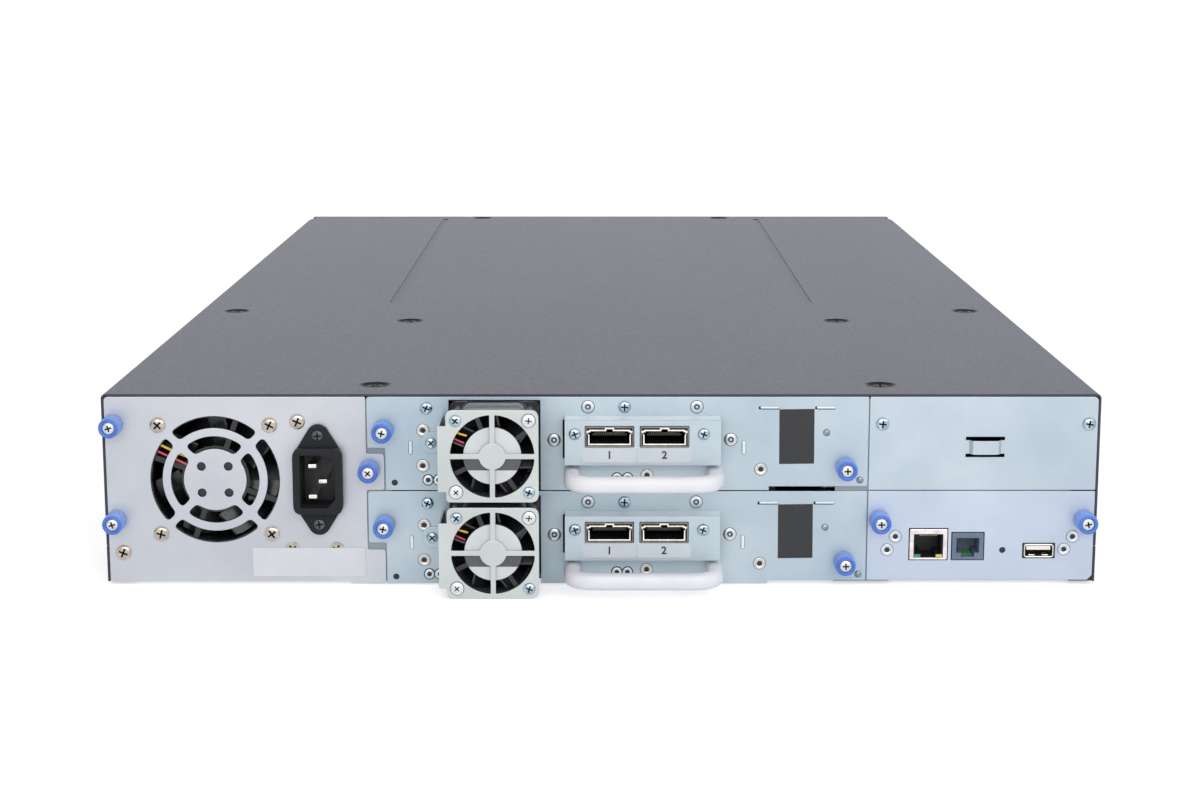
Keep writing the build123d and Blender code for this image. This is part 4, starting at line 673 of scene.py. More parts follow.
# a profile's points hold radius, height and, on a knurled part, the knurl's share
def turnedSet(name, places, body, finish, profile, sides=28, knurls=0, depth=0.0, facing=toRear, **more):
    points = [(r / 1000, share, height / 1000) for r, height, share in [(*p, 0.0)[:3] for p in profile]]
    holder = pointHolder(name + "_profile", points)
    settings = {"Profile": holder, "Sides": sides, "Knurls": knurls, "Knurl Depth": depth / 1000,
                "Facing": facing, "Seed": 5, "Finish": finish}
    piece = growPiece(name, turnedParts, places, settings, body, **more)
    bpy.data.objects.remove(holder)
    return piece


def barRow(name, places, body, finish, count, step, size):
    settings = {"Count": count, "Step": [c / 1000 for c in step], "Bar Size": [c / 1000 for c in size],
                "Finish": finish}
    growPiece(name, barRows, places, settings, body)


# ---- captive thumbscrews: a knurled nylon knob on a turned steel core

knob = {"radius": 4.7, "length": 10.5, "coreRadius": 2.8, "sunk": 1.25, "mouth": 1.1, "knurls": 26,
        "knurlDepth": 0.09, "reach": 8.3, "thread": 2.0, "tip": 0.4}


def knobProfile():
    r, length, bore, mouth = knob["radius"] - 0.1, knob["length"], knob["coreRadius"] + 0.2, knob["mouth"]
    return [(bore, 0.0), (r - 0.6, 0.0), (r - 0.1, 0.5, 0.6), (r, 1.4, 1.0), (r, length - 1.8, 1.0),
            (r - 0.05, length - 1.1, 0.4), (r - 0.3, length - 0.45), (r - 0.75, length - 0.08),
            (bore + 0.55, length), (bore + 0.12, length - 0.25), (bore, length - mouth), (bore, 0.0)]


def thumbscrewPieces(node, body):
    low, high = boxMm(node)
    x, z, base = (low.x + high.x) / 2, (low.z + high.z) / 2, low.y + knob["length"]
    grip = turnedSet(node + "_knob", [(x, base, z)], body, knobSideLit, knobProfile(), sides=104,
                     knurls=knob["knurls"], depth=knob["knurlDepth"], slotName="thumb_blue", stands=(node,),
                     smoothUnder=40)
    grip.data.materials.append(knobEndShade)
    for face in grip.data.polygons:     # the smooth end's deeper blue is painted shade, the knurled side's lighter blue painted light
        if face.normal.y < -0.5:
            face.material_index = len(grip.data.materials) - 1
    core, reach, thread, tip = knob["coreRadius"], knob["reach"], knob["thread"], knob["tip"]
    face = knob["length"] - knob["sunk"]
    stem = [(0.0, -reach), (1.7, -reach), (thread, tip - reach), (thread, 0.0), (core, 0.0), (core, face),
            (0.0, face)]
    turnedSet(node + "_stem", [(x, base, z)], body, coreSteel, stem)
    screwHeads(node + "_head", [(x, base - face, z)], body, coreSteel, radius=core - 0.08, height=1.0,
               seed=len(body) + int(x), reach=0.56, wide=0.26)


for node in [name for name in nodes if "thumbscrew" in name]:
    thumbscrewPieces(node, node + "_body")
print("tape library: thumbscrews ready")


# ---- rivets, clinch nuts and studs pressed into the sheets: radius and height along each profile

rivetProfile = [(0.0, 0.0), (2.8, 0.0), (2.75, 0.3), (2.3, 0.5), (1.45, 0.52), (1.1, 0.1), (0.75, 0.1),
                (0.45, 0.4), (0.0, 0.42)]
nutProfile = [(0.0, 0.02), (2.75, 0.0), (2.7, 0.25), (2.4, 0.34), (1.9, 0.3), (1.35, 0.2), (1.15, 0.05),
              (0.0, 0.05)]
studProfile = [(0.0, 0.02), (2.2, 0.0), (2.15, 0.4), (1.9, 0.5), (1.15, 0.5), (0.95, 0.3), (0.9, 0.05),
               (0.0, 0.05)]
pinProfile = [(0.0, 0.0), (1.45, 0.0), (1.3, 0.18), (0.7, 0.4), (0.0, 0.42)]


# flat dark disc of painted shade: the shadow in the groove round a pressed-in part, or in the hole in the
# middle of one
def shadeDiscs(name, places, body, radius, proud, start=0.0):
    disc = [(0.0, start), (radius, start), (radius, proud), (0.0, proud)]
    turnedSet(name, places, body, seamShade if start == 0.0 else boxBlack, disc, sides=24)


def pressedParts(name, places, body, finish, profile, groove, bore=0.0):
    radius = max(point[0] for point in profile)
    turnedSet(name, places, body, finish, profile)
    # dark discs paint the shade in the groove round each part and in its hole or its well
    shadeDiscs(name + "_grooves", places, body, radius + groove, 0.05)
    if bore:
        shadeDiscs(name + "_bores", places, body, bore, 0.12, 0.04)
    elif finish is rivetSteel:
        shadeDiscs(name + "_wells", places, body, 1.2, 0.2)


# ---- drive sleds: sizes are taken from the panel's left edge and underside, or from its right edge for slots

sled = {"tabWidth": 8.0, "tabBottom": 19.0, "stepWidth": 44.0, "stepHeight": 1.5, "ease": 0.16, "seam": 0.35,
        "corners": (0.8, 0.3, 0.3, 0.3, 0.3, 0.2, 0.2, 1.0, 0.6, 1.4, 1.0, 0.6),
        "fan": (49.2, 20.4), "notch": 20.5, "footScrew": (20.7, 21.6),
        "bracket": (115.4, 69.4, 13.4, 33.8, 11.0), "gap": 1.0,
        "bracketScrews": ((85.2, 27.7), (142.4, 27.7)),
        "ports": ((100.6, 26.4), (125.0, 26.4)), "handle": (115.8, 8.2, 71.0, 31.0, 7.3, 9.5),
        "slots": (44.3, 19.1), "slot": (9.2, 1.4, 4.4), "lances": ((160.9, 19.2), (11.4, 19.1)),
        "lance": (1.8, 6.4), "dot": (4.1, 3.1, 1.4), "screws": ((107.4, 37.8), (18.7, 37.3)),
        "rivets": ((91.0, 37.8), (139.7, 37.8), (75.8, 22.7), (155.0, 22.9)),
        "nuts": ((117.5, 6.5), (168.6, 9.3), (17.1, 27.1), (16.9, 10.9)),
        "studs": ((104.0, 5.3), (108.8, 5.3), (19.2, 4.4), (23.9, 4.4)),
        "pins": ((197.9, 26.1), (213.2, 4.3)), "label": (176.6, 192.3, 11.7, 36.9)}
fan = {"half": 20.0, "proud": 24.0, "depth": 28.0, "flange": 3.4, "corner": 3.2, "barrel": 23.4, "bore": 19.0,
       "pitch": 16.0, "hole": 1.9, "tube": 2.9, "base": 13.0, "baseSet": 0.8, "baseEnd": 2.4,
       "struts": (0.62, 1.95, 3.6, 5.3), "label": 12.7, "band": (-1.2, -6.5), "wire": 0.48,
       "wires": (("yellow", yellowWire, (-16.4, 10.4), (-11.2, 8.8)),
                 ("red", redWire, (-17.6, 7.9), (-12.4, 5.5)),
                 ("grey", greyWire, (-18.2, 6.4), (-12.6, 4.1)))}
guard = {"half": (20.3, 20.6), "corner": 3.6, "hub": 5.9, "ring": 18.5, "bar": 2.3, "soft": 0.5, "sheet": 1.0,
         "wing": 3.7, "wingLow": 16.0, "wingHigh": 13.5, "foot": (4.5, 9.6, 4.4)}

port = {"width": 21.4, "height": 9.2, "gap": 0.25, "wall": 0.5, "proud": 0.4, "depth": 25.0, "lipProud": 0.3,
        "lipEnd": 1.9, "lipWall": 0.65, "face": (0.5, 2.0), "throat": (2.02, 22.0), "back": 24.5,
        "tongue": (7.8, 6.0, 22.2, -0.7, 0.5), "contact": (-6.6, 8.2, 0.56), "pad": (24.0, 6.2, 18.0, 4.8)}


# one quarter of a guard's opening, between two bars of constant width, with its corners rounded
def sectorLoop(x, z, inner, outer, middle, bar, soft, steps):
    low, high = pi / 4 - asin(bar / 2 / inner), pi / 4 - asin(bar / 2 / outer)
    cutHigh, cutLow = soft / outer, soft / inner

    def at(r, a):
        return Vector((x + r * cos(middle + a), z + r * sin(middle + a)))

    def turn(start, corner, end):
        return [(1 - t) ** 2 * start + 2 * t * (1 - t) * corner + t * t * end for t in (0.25, 0.5, 0.75)]

    def between(first, second):
        return first + (second - first).normalized() * soft

    def arc(r, start, reach):
        return [at(r, start + reach * i / steps) for i in range(steps + 1)]

    loop = arc(outer, cutHigh - high, 2 * high - 2 * cutHigh)
    loop += turn(loop[-1], at(outer, high), between(at(outer, high), at(inner, low)))
    loop += [between(at(outer, high), at(inner, low)), between(at(inner, low), at(outer, high))]
    loop += turn(loop[-1], at(inner, low), at(inner, low - cutLow))
    loop += arc(inner, low - cutLow, 2 * cutLow - 2 * low)
    loop += turn(loop[-1], at(inner, -low), between(at(inner, -low), at(outer, -high)))
    loop += [between(at(inner, -low), at(outer, -high)), between(at(outer, -high), at(inner, -low))]
    loop += turn(loop[-1], at(outer, -high), at(outer, cutHigh - high))
    clean = [loop[0]]
    for point in loop[1:]:
        if (point - clean[-1]).length > 0.03:
            clean.append(point)
    return [tuple(p) for p in clean]


def sledSheet(which, body, left, right, z0, top, rear):
    s = sled
    fanX, fanZ = left + s["fan"][0], z0 + s["fan"][1]
    tab, step, n = left - s["tabWidth"], right - s["stepWidth"], s["notch"]
    near, low = right + s["seam"], z0 - s["seam"] * (which == "upper")
    high, foot, shoulder = top + s["seam"] * (which == "lower"), z0 + s["stepHeight"], z0 + s["tabBottom"]
    outline = [(left, low), (fanX - n, low), (fanX - n, fanZ + n), (fanX + n, fanZ + n), (fanX + n, low),
               (step, low), (step, foot), (near, foot), (near, high), (tab, high), (tab, shoulder),
               (left, shoulder)]
    middle, wide, low, high = s["bracket"][:4]
    x0, x1 = left + middle - wide / 2, left + middle + wide / 2
    dotX, dotZ, dotR = left + s["dot"][0], z0 + s["dot"][1], s["dot"][2]
    loops = [softLoop(outline, s["corners"]), rectLoop(x0 - s["gap"], x1 - 3, z0 + low + 1, z0 + high - 1.8),
             ringOf(dotX, dotZ, dotR, 20)]
    slotW, slotH, drop = s["slot"]
    lanceW, lanceH = s["lance"]
    lips = []
    for u in s["slots"]:    # a lip stands in each slot, with the slot open at its left end and below it
        x, z = right - u, top - drop - slotH / 2
        loops.append(centredLoop(x, z, slotW, slotH, 0.5))
        lips.append(softBox(x - slotW / 2 + 0.75, x + slotW / 2 - 0.1, rear - 0.35, rear + 0.9,
                            z - slotH / 2 + 0.45, z + slotH / 2, 0.25))
    for u, v in s["lances"]:
        x, z = left + u, z0 + v
        loops.append(centredLoop(x, z, lanceW, lanceH, 0.9))
        lips.append(softBox(x - lanceW / 2 + 0.12, x + lanceW / 2 - 0.12, rear - 0.45, rear + 0.9,
                            z - lanceH / 2 + 0.2, z + lanceH / 2 - 0.12, 0.4))
    shapes = facedCase("sled_case_" + which, loops, rear, s["ease"], sledZinc)
    # the lips take the paler zinc, a painted highlight
    shapes += [(lip, zincLipHighlight) for lip in lips]
    makePiece("sled_panel_" + which, shapes, body, ("sled_case_" + which,))
    # a black disc closes the index hole as painted shade
    shadeDiscs("sled_index_hole_" + which, [(dotX, rear + 0.7, dotZ)], body, dotR + 0.2, 0.1, 0.01)


def fanPieces(which, body, left, z0, rear):
    f = fan
    x, z = left + sled["fan"][0], z0 + sled["fan"][1]
    out, far = rear - f["proud"], rear - f["proud"] + f["depth"]
    start, end = out + f["flange"], far - f["flange"]
    bore = ringOf(x, z, f["bore"], 48)
    holes = [(x + a, z + b) for a, b in fourCorners(f["pitch"])]
    plate = [centredLoop(x, z, 2 * f["half"], 2 * f["half"], f["corner"]), bore]
    plate += [ringOf(*hole, f["hole"], 16) for hole in holes]
    side = f["half"] - 0.1      # the barrel is a little wider than the frame, so its flanks are flat
    barrel = [[max(-side, min(side, reach)) for reach in spot] for spot in ringOf(0, 0, f["barrel"], 64)]
    barrel = [(x + u, z + v) for u, v in barrel]
    base = cutStock([ringOf(x, z, f["base"], 40)], out + f["baseSet"], out + f["baseEnd"], 0.3)
    shapes = [(cutStock(plate, out, start, 0.3), fanBlack), (cutStock(plate, end, far, 0.3), fanBlack),
              (cutStock([barrel, bore], start - 0.1, end + 0.1, 0.05), barrelGlossSheen), (base, fanBlack)]
    for hole in holes:      # the tubes that join the flanges at the corners
        tube = [ringOf(*hole, f["tube"], 20), ringOf(*hole, f["hole"], 16)]
        shapes.append((cutStock(tube, start - 0.1, end + 0.1, 0.05), fanBlack))
    for angle in f["struts"]:   # they hold the motor
        strut = softBox(f["base"] - 0.6, f["bore"] + 0.4, out + 0.9, out + f["baseEnd"], -1.1, 1.1, 0.3)
        strut.transform(Matrix.Translation((x, 0, z)) @ Matrix.Rotation(-angle, 4, "Y"))
        shapes.append((strut, fanBlack))
    makePiece("fan_body_" + which, shapes, body, ("fan_frame_" + which,))
    face, r = out + f["baseSet"], f["label"]
    first, last = [asin(v / r) for v in f["band"]]
    angles = [first - i * (first - last) / 6 for i in range(7)]
    band = [(x + r * cos(a), z + r * sin(a)) for a in angles]
    band += [(2 * x - u, v) for u, v in reversed(band)]
    film = cutStock([ringOf(x, z, r, 48)], face - 0.12, face + 0.02, 0.03)
    stripe = cutStock([band], face - 0.16, face - 0.1, 0.01)
    makePiece("fan_label_" + which, [(film, hubFilm), (stripe, greyFilm)], body)
    for colour, finish, first, last in f["wires"]:
        run = [(x + first[0] + (last[0] - first[0]) * t, out + dip, z + first[1] + (last[1] - first[1]) * t)
               for t, dip in ((0.0, 2.6), (0.08, 1.9), (0.4, 1.6), (0.7, 1.6), (1.0, 1.9))]
        makePiece(f"fan_wire_{colour}_{which}", [(wireTube(run, f["wire"]), finish)], body)


def guardPieces(which, body, left, z0, rear):
    g = guard
    x, z = left + sled["fan"][0], z0 + sled["fan"][1]
    out = rear - fan["proud"] - g["sheet"]
    halfX, halfZ = g["half"]
    wing, low, high = x - halfX - g["wing"], z - g["wingLow"], z + g["wingHigh"]
    outline = [(wing, low), (x - halfX, low), (x - halfX, z - halfZ), (x + halfX, z - halfZ),
               (x + halfX, z + halfZ), (x - halfX, z + halfZ), (x - halfX, high), (wing, high)]
    loops = [softLoop(outline, [0.3, 0.3] + [g["corner"]] * 4 + [0.3, 0.3], 6)]
    loops += [sectorLoop(x, z, g["hub"], g["ring"], pi / 4 + k * pi / 2, g["bar"], g["soft"], 14)
              for k in range(4)]
    footX, footZ = left + sled["footScrew"][0], z0 + sled["footScrew"][1]
    reach, tall, bend = g["foot"]
    foot = softLoop(rectLoop(footX - reach, wing + 1, footZ - tall / 2, footZ + tall / 2),
                    [bend, 0.2, 0.2, bend], 8)
    shapes = [(cutStock(loops, out, out + g["sheet"], 0.2), guardCoat),
              (softBox(wing, wing + g["sheet"], out + 0.3, rear - 0.02, low, high, 0.2), guardCoat),
              (cutStock([foot], rear - 1.0, rear - 0.01, 0.18), sledZinc)]
    makePiece("fan_guard_" + which, shapes, body, ("fan_grille_" + which,))
    p = fan["pitch"]
    flats = spotsAt(x, out, z, ((p, p), (-p, -p)))
    screwHeads("guard_screws_" + which, spotsAt(x, out, z, ((-p, p), (p, -p))), body, zincScrew, 2.7, 1.5,
               slotName="zinc_screw", stands=("sled_screws_" + which,))
    screwHeads("guard_flat_screws_" + which, flats, body, paleScrew, 3.0, 0.9, seed=8, reach=0.46, wide=0.17)
    # a dark ring round each flat screw paints the shade of its groove
    shadeDiscs("guard_flat_grooves_" + which, flats, body, 3.2, 0.05)
    screwHeads("foot_screw_" + which, [(footX, rear - 1.0, footZ)], body, zincScrew, 2.6, 1.4, seed=11)


# mouth of a port: low in the middle of its top edge for the key, and stepped at its upper corners
def crownLoop(x, z, grow):
    w, low, high, key = 8.9 + grow, -3.1 - grow, 2.6 + grow, 1.4 + grow
    half = [(w, low), (w, high - 1.5), (w + 0.6, high - 1.5), (w + 0.6, high - 0.5), (w - 0.5, high - 0.5),
            (w - 0.5, high), (key, high), (key, high + 0.9)]
    return [(x + u, z + v) for u, v in half] + [(x - u, z + v) for u, v in reversed(half)]


def bracketPieces(which, body, left, z0, rear):
    middle, wide, low, high, proud = sled["bracket"]
    x0, x1 = left + middle - wide / 2, left + middle + wide / 2
    out, under, over = rear - proud, z0 + low, z0 + high
    w, h, gap, wall = port["width"], port["height"], 2 * port["gap"], 2 * port["wall"]
    faceStart, faceEnd = [out + depth for depth in port["face"]]
    throatStart, throatEnd = [out + depth for depth in port["throat"]]
    half, tongueStart, tongueEnd, tongueLow, tongueHigh = port["tongue"]
    padW, padH, padZ, size = port["pad"]
    places = [(left + u, z0 + v) for u, v in sled["ports"]]
    loops = [rectLoop(x0, x1, under, over, 0.3)]
    loops += [centredLoop(*place, w + gap, h + gap, 0.5) for place in places]
    # the top flange takes the paler zinc as a painted highlight along the bend; the lower flange keeps the
    # plain zinc
    shapes = [(cutStock(loops, out, out + 1.0, 0.15), sledZinc),
              (softBox(x0, x1, out + 0.05, rear + 0.02, over - 1.0, over, 0.35, 3), zincLipHighlight),
              (softBox(x0, x1, out + 0.05, rear + 0.02, under, under + 1.0, 0.3, 3), sledZinc)]
    makePiece("port_bracket_" + which, shapes, body, ("sas_bracket_" + which,))
    screwHeads("bracket_screws_" + which, spotsAt(left, out, z0, sled["bracketScrews"]), body, zincScrew, 2.7,
               1.5, seed=21)
    pads, cages = [], []
    for number, (x, z) in enumerate(places, 1):
        pad = cutStock([centredLoop(x, z0 + padZ, padW, padH, 1.6)], out - 0.06, out + 0.02, 0.02)
        pads += [(pad, padFilm), (numeral(str(number), x, z0 + padZ, out - 0.08, size), inkPrint)]
        cage = [centredLoop(x, z, w, h, 0.7), centredLoop(x, z, w - wall, h - wall, 0.4)]
        filler = centredLoop(x, z, w - wall - 0.04, h - wall - 0.04, 0.3)
        lip, mouth = crownLoop(x, z, port["lipWall"]), crownLoop(x, z, 0.0)
        tongue = softBox(x - half, x + half, out + tongueStart, out + tongueEnd, z + tongueLow,
                         z + tongueHigh, 0.15)
        cages += [(cutStock(cage, out - port["proud"], out + port["depth"], 0.12), cageNickelShade),
                  (cutStock([filler, mouth], faceStart, faceEnd, 0.05), boxBlack),
                  (cutStock([lip, mouth], out - port["lipProud"], out + port["lipEnd"], 0.12), lipNickel),
                  (cutStock([filler, mouth], throatStart, throatEnd, 0.05), boxBlack),
                  (boxAt(x, z, w - wall - 0.4, h - wall - 0.4, throatEnd, out + port["back"], 0.1), boxBlack),
                  (tongue, boxBlack)]
    makePiece("port_labels_" + which, pads, body)
    makePiece("port_cages_" + which, cages, body, ("sas_ports_" + which,))
    right, behind, above = port["contact"]
    rows = [(x + right, out + behind, z + above) for x, z in places]
    barRow("port_contacts_" + which, rows, body, goldContact, 14, (1.0, 0, 0), (0.45, 4.0, 0.1))


# white bow handle, bent round at both ends
def handlePiece(which, body, left, z0, rear):
    u, v, wide, proud, thick, bend = sled["handle"]
    x, half, out = left + u, (wide - thick) / 2, rear - proud + thick / 2
    quarter = [(1 - cos(a), 1 - sin(a)) for a in [pi / 2 * i / 10 for i in range(11)]]
    bow = [(bend * a - half, out + bend * b) for a, b in quarter]
    path = [(-half, rear)] + bow
    path += [(-u, y) for u, y in reversed(path)]
    bar = sweptBar([(x + u, y) for u, y in path], z0 + v, thick, 3.3)
    makePiece("handle_bow_" + which, [(bar, handlePaint)], body, ("pull_handle_" + which,),
              smoothUnder=50)


def sledTrim(which, body, left, z0, rear):
    spots = {key: spotsAt(left, rear, z0, sled[key]) for key in ("screws", "rivets", "nuts", "studs", "pins")}
    screwHeads("sled_panel_screws_" + which, spots["screws"], body, zincScrew, 2.8, 1.5, seed=31)
    pressedParts("sled_rivets_" + which, spots["rivets"], body, rivetSteel, rivetProfile, 0.25)
    pressedParts("sled_nuts_" + which, spots["nuts"], body, nutSteel, nutProfile, 0.2, 1.15)
    pressedParts("sled_studs_" + which, spots["studs"], body, rivetSteel, studProfile, 0.45, 0.85)
    pressedParts("sled_pins_" + which, spots["pins"], body, studSteel, pinProfile, 0.15)
    a, b, c, d = sled["label"]      # the label sits a little askew
    label = [(a + 0.2, c), (b + 0.2, c + 0.2), (b, d), (a, d - 0.2)]
    label = [(left + u, z0 + v) for u, v in label]
    film = cutStock([softLoop(label, 0.25)], rear - 0.1, rear + 0.02, 0.03)
    makePiece("sled_label_" + which, [(film, darkFilm)], body)


for which in ("lower", "upper"):
    low, high = boxMm("sled_case_" + which)
    left = low.x + sled["tabWidth"]
    sledSheet(which, "drive_sled_" + which, left, high.x, low.z, high.z, low.y)
    for make in (fanPieces, guardPieces, bracketPieces, handlePiece, sledTrim):
        make(which, "drive_sled_" + which, left, low.z, low.y)
print("tape library: drive sleds ready")


# ---- power supply: sizes are taken from the cover's side and the pan's underside

psu = {"coverSide": 1.2, "tab": 8.0, "tabs": (15.7, 43.3, 59.9), "foot": 0.9, "footEnd": 8.0,
       "corners": (0.6, 0.2, 0.2, 0.8, 1.6, 0.8, 0.8, 1.6, 1.6, 0.8, 0.8, 2.0),
       "fan": (50.0, 48.4), "rings": ((14.1, 19.9), (23.6, 29.1)), "spoke": 3.5, "soft": 2.1,
       "hubHoles": (6.05, 2.0), "inlet": (96.7, 48.7), "inletHole": (19.4, 28.0), "screwPitch": 25.0,
       "extraScrews": ((87.5, 75.0), (7.6, 14.7)), "labelScrews": ((84.0, 16.2), (104.1, 16.2)),
       "screwRadius": 3.5, "label": (66.0, 117.0, 3.6, 16.9), "dips": (2.6, 1.9, 1.8, 1.8, 2.6), "wire": 0.6,
       "wires": (("yellow", yellowWire,
                  ((-27.6, 17.0), (-23.5, 15.1), (-19.0, 13.0), (-15.0, 11.1), (-12.5, 10.0))),
                 ("red", redWire, ((-28.0, 13.6), (-22.5, 11.1), (-17.5, 8.9), (-12.5, 6.5), (-10.0, 5.4))))}


# the case's panel and what is on it; it gives back the middle of the inlet
def psuPieces():
    p, body = psu, "power_supply"
    low, high = boxMm("psu_case")
    side, rear, z0, top, tab = low.x - p["coverSide"], low.y, low.z, high.z, high.x
    edge, foot, start = tab - p["tab"], z0 + p["foot"], tab - p["tab"] - p["footEnd"]
    first, second, third = [z0 + v for v in p["tabs"]]
    outline = [(low.x, foot), (start, foot), (start, z0), (tab, z0), (tab, first), (edge, first),
               (edge, second), (tab, second), (tab, third), (edge, third), (edge, top), (low.x, top)]
    x, z = side + p["fan"][0], p["fan"][1]
    loops = [softLoop(outline, p["corners"])]
    for inner, outer in p["rings"]:
        loops += [sectorLoop(x, z, inner, outer, k * pi / 2, p["spoke"], p["soft"], 16) for k in range(4)]
    half, r = p["hubHoles"]
    loops += [ringOf(x + a, z + b, r, 20) for a, b in fourCorners(half)]
    inletX, inletZ = side + p["inlet"][0], p["inlet"][1]
    loops.append(centredLoop(inletX, inletZ, *p["inletHole"]))
    makePiece("psu_panel", facedCase("psu_case", loops, rear, 0.2, psuZinc), body, ("psu_case",))
    places = spotsAt(x, rear, z, fourCorners(p["screwPitch"])) + spotsAt(side, rear, 0, p["extraScrews"])
    screwHeads("psu_panel_screws", places, body, nickelScrew, p["screwRadius"], 1.5, slotName="nickel_screw",
               stands=("psu_screws",), seed=4)
    screwHeads("psu_flush_screws", spotsAt(side, rear, 0, p["labelScrews"]), body, nickelScrew,
               p["screwRadius"], 0.25, seed=14)
    a, b, c, d = p["label"]
    film = cutStock([rectLoop(side + a, side + b, c, d, 0.8)], rear - 0.36, rear + 0.02, 0.06)
    makePiece("psu_label", [(film, paleFilm)], body)
    for colour, finish, route in p["wires"]:
        run = [(x + u, rear + dip, z + v) for (u, v), dip in zip(route, p["dips"])]
        makePiece("psu_wire_" + colour, [(wireTube(run, p["wire"]), finish)], body)
    return inletX, inletZ, rear


inlet = {"width": 22.2, "height": 30.4, "ear": 20.3, "earRadius": 5.0, "flange": 2.6, "rim": 4.0,
         "rimCorner": 4.2, "socket": (15.4, 24.0), "wall": 1.7, "depth": 17.0, "key": 3.6,
         "blades": ((-2.3, -7.0), (-2.3, 7.0), (2.3, 0.0)), "blade": (4.0, 2.0), "bladeSet": 1.5}


def inletPieces(x, z, rear):
    i, body = inlet, "power_supply"
    points = [p for s in (-1, 1) for p in ringOf(x, z + s * i["ear"], i["earRadius"], 40)]
    points += [(x + a, z + b) for a, b in fourCorners((i["width"] - 3) / 2, (i["height"] - 2) / 2)]
    hull = [points[k] for k in convex_hull_2d(points)]
    out, front = rear - i["flange"], rear - i["flange"] - i["rim"]
    floor = front + i["depth"]
    w, h = i["socket"]
    a, b, key = w / 2, h / 2, i["key"]
    mouth = [(x - a, z - b), (x + a - key, z - b), (x + a, z - b + key), (x + a, z + b - key),
             (x + a - key, z + b), (x - a, z + b)]
    socket = softLoop(mouth, 0.8)
    rim = centredLoop(x, z, i["width"], i["height"], i["rimCorner"])
    tube = centredLoop(x, z, w + 2 * i["wall"], h + 2 * i["wall"], 0.5)
    shapes = [(cutStock([hull, socket], out, rear - 0.01, 0.5), inletPlastic),
              (cutStock([rim, socket], front, out + 0.1, 0.55), inletPlastic),
              (cutStock([tube, socket], rear - 0.1, floor + 1.0, 0.1), boxBlack),
              (cutStock([tube], floor, floor + 2.0, 0.1), boxBlack)]
    shapes += [(boxAt(x + u, z + v, *i["blade"], front + i["bladeSet"], floor + 0.2, 0.5, 3), contactSteel)
               for u, v in i["blades"]]
    makePiece("inlet_housing", shapes, body, ("power_inlet",))
    screwHeads("inlet_screws", spotsAt(x, out, z, ((0, -i["ear"]), (0, i["ear"]))), body, earScrew, 2.5, 0.9,
               seed=9, reach=0.7, wide=0.3)


inletPieces(*psuPieces())
print("tape library: power supply ready")


# ---- controller and blank plate: sizes are taken from the divider; a jack has place, width, height and depth

io = {"divider": 120.0, "gap": 0.4, "base": 11.4, "foot": 1.9, "cornerCut": 2.2, "plateGap": 0.6,
      "ethernet": (27.9, 17.0, 14.2, 21.0), "serial": (45.7, 14.2, 12.4, 16.0),
      "usb": (77.8, 13.4, 6.2, 14.0), "usbZ": 15.6, "reset": (61.4, 15.8, 1.4),
      "nuts": ((12.9, 22.1), (9.3, 15.9), (92.9, 22.1), (89.2, 16.2)),
      "plateScrews": ((6.0, 74.0), (98.4, 74.0)), "bridge": (52.2, 63.4, 17.5, 9.3, 6.2, 2.4)}


def controllerPanel():
    low, high = boxMm("controller_panel")
    rear, base, gap, x, body = low.y, io["base"], io["gap"], io["divider"], "controller"
    near, top = low.x - sled["seam"], boxMm("blank_plate")[0].z - io["plateGap"]
    foot, cut = io["foot"], io["cornerCut"]
    outline = [(near, foot), (high.x - cut, foot), (high.x, foot + cut), (high.x, top), (near, top)]
    loops = [softLoop(outline, [0.8, 0.3, 0.3, 0.4, 0.4])]
    for u, w, h in (io["ethernet"][:3], io["serial"][:3]):
        loops.append(centredLoop(x + u, base + h / 2, w + 2 * gap, h + 2 * gap, 0.3))
    u, w, h = io["usb"][:3]
    loops.append(centredLoop(x + u, io["usbZ"], w + 2 * gap, h + 2 * gap, 0.2))
    u, v, r = io["reset"]
    loops.append(ringOf(x + u, v, r, 20))
    shapes = facedCase("controller_panel", loops, rear, 0.16, panelZinc)
    makePiece("controller_face", shapes, body, ("controller_panel",))
    pressedParts("controller_nuts", spotsAt(x, rear, 0, io["nuts"]), body, rivetSteel, nutProfile, 0.2, 1.15)


# the shape of a plug's way in: its key's steps below and its flat top above, about the middle of the jack
def plugLoop(x, base, width, shoulder, keyWidth, keyBase, top):
    half, key = width / 2, keyWidth / 2
    left = [(-half, shoulder), (-key, shoulder), (-key, keyBase)]
    points = left + [(-u, v) for u, v in reversed(left)] + [(half, top), (-half, top)]
    return [(x + u, base + v) for u, v in points]


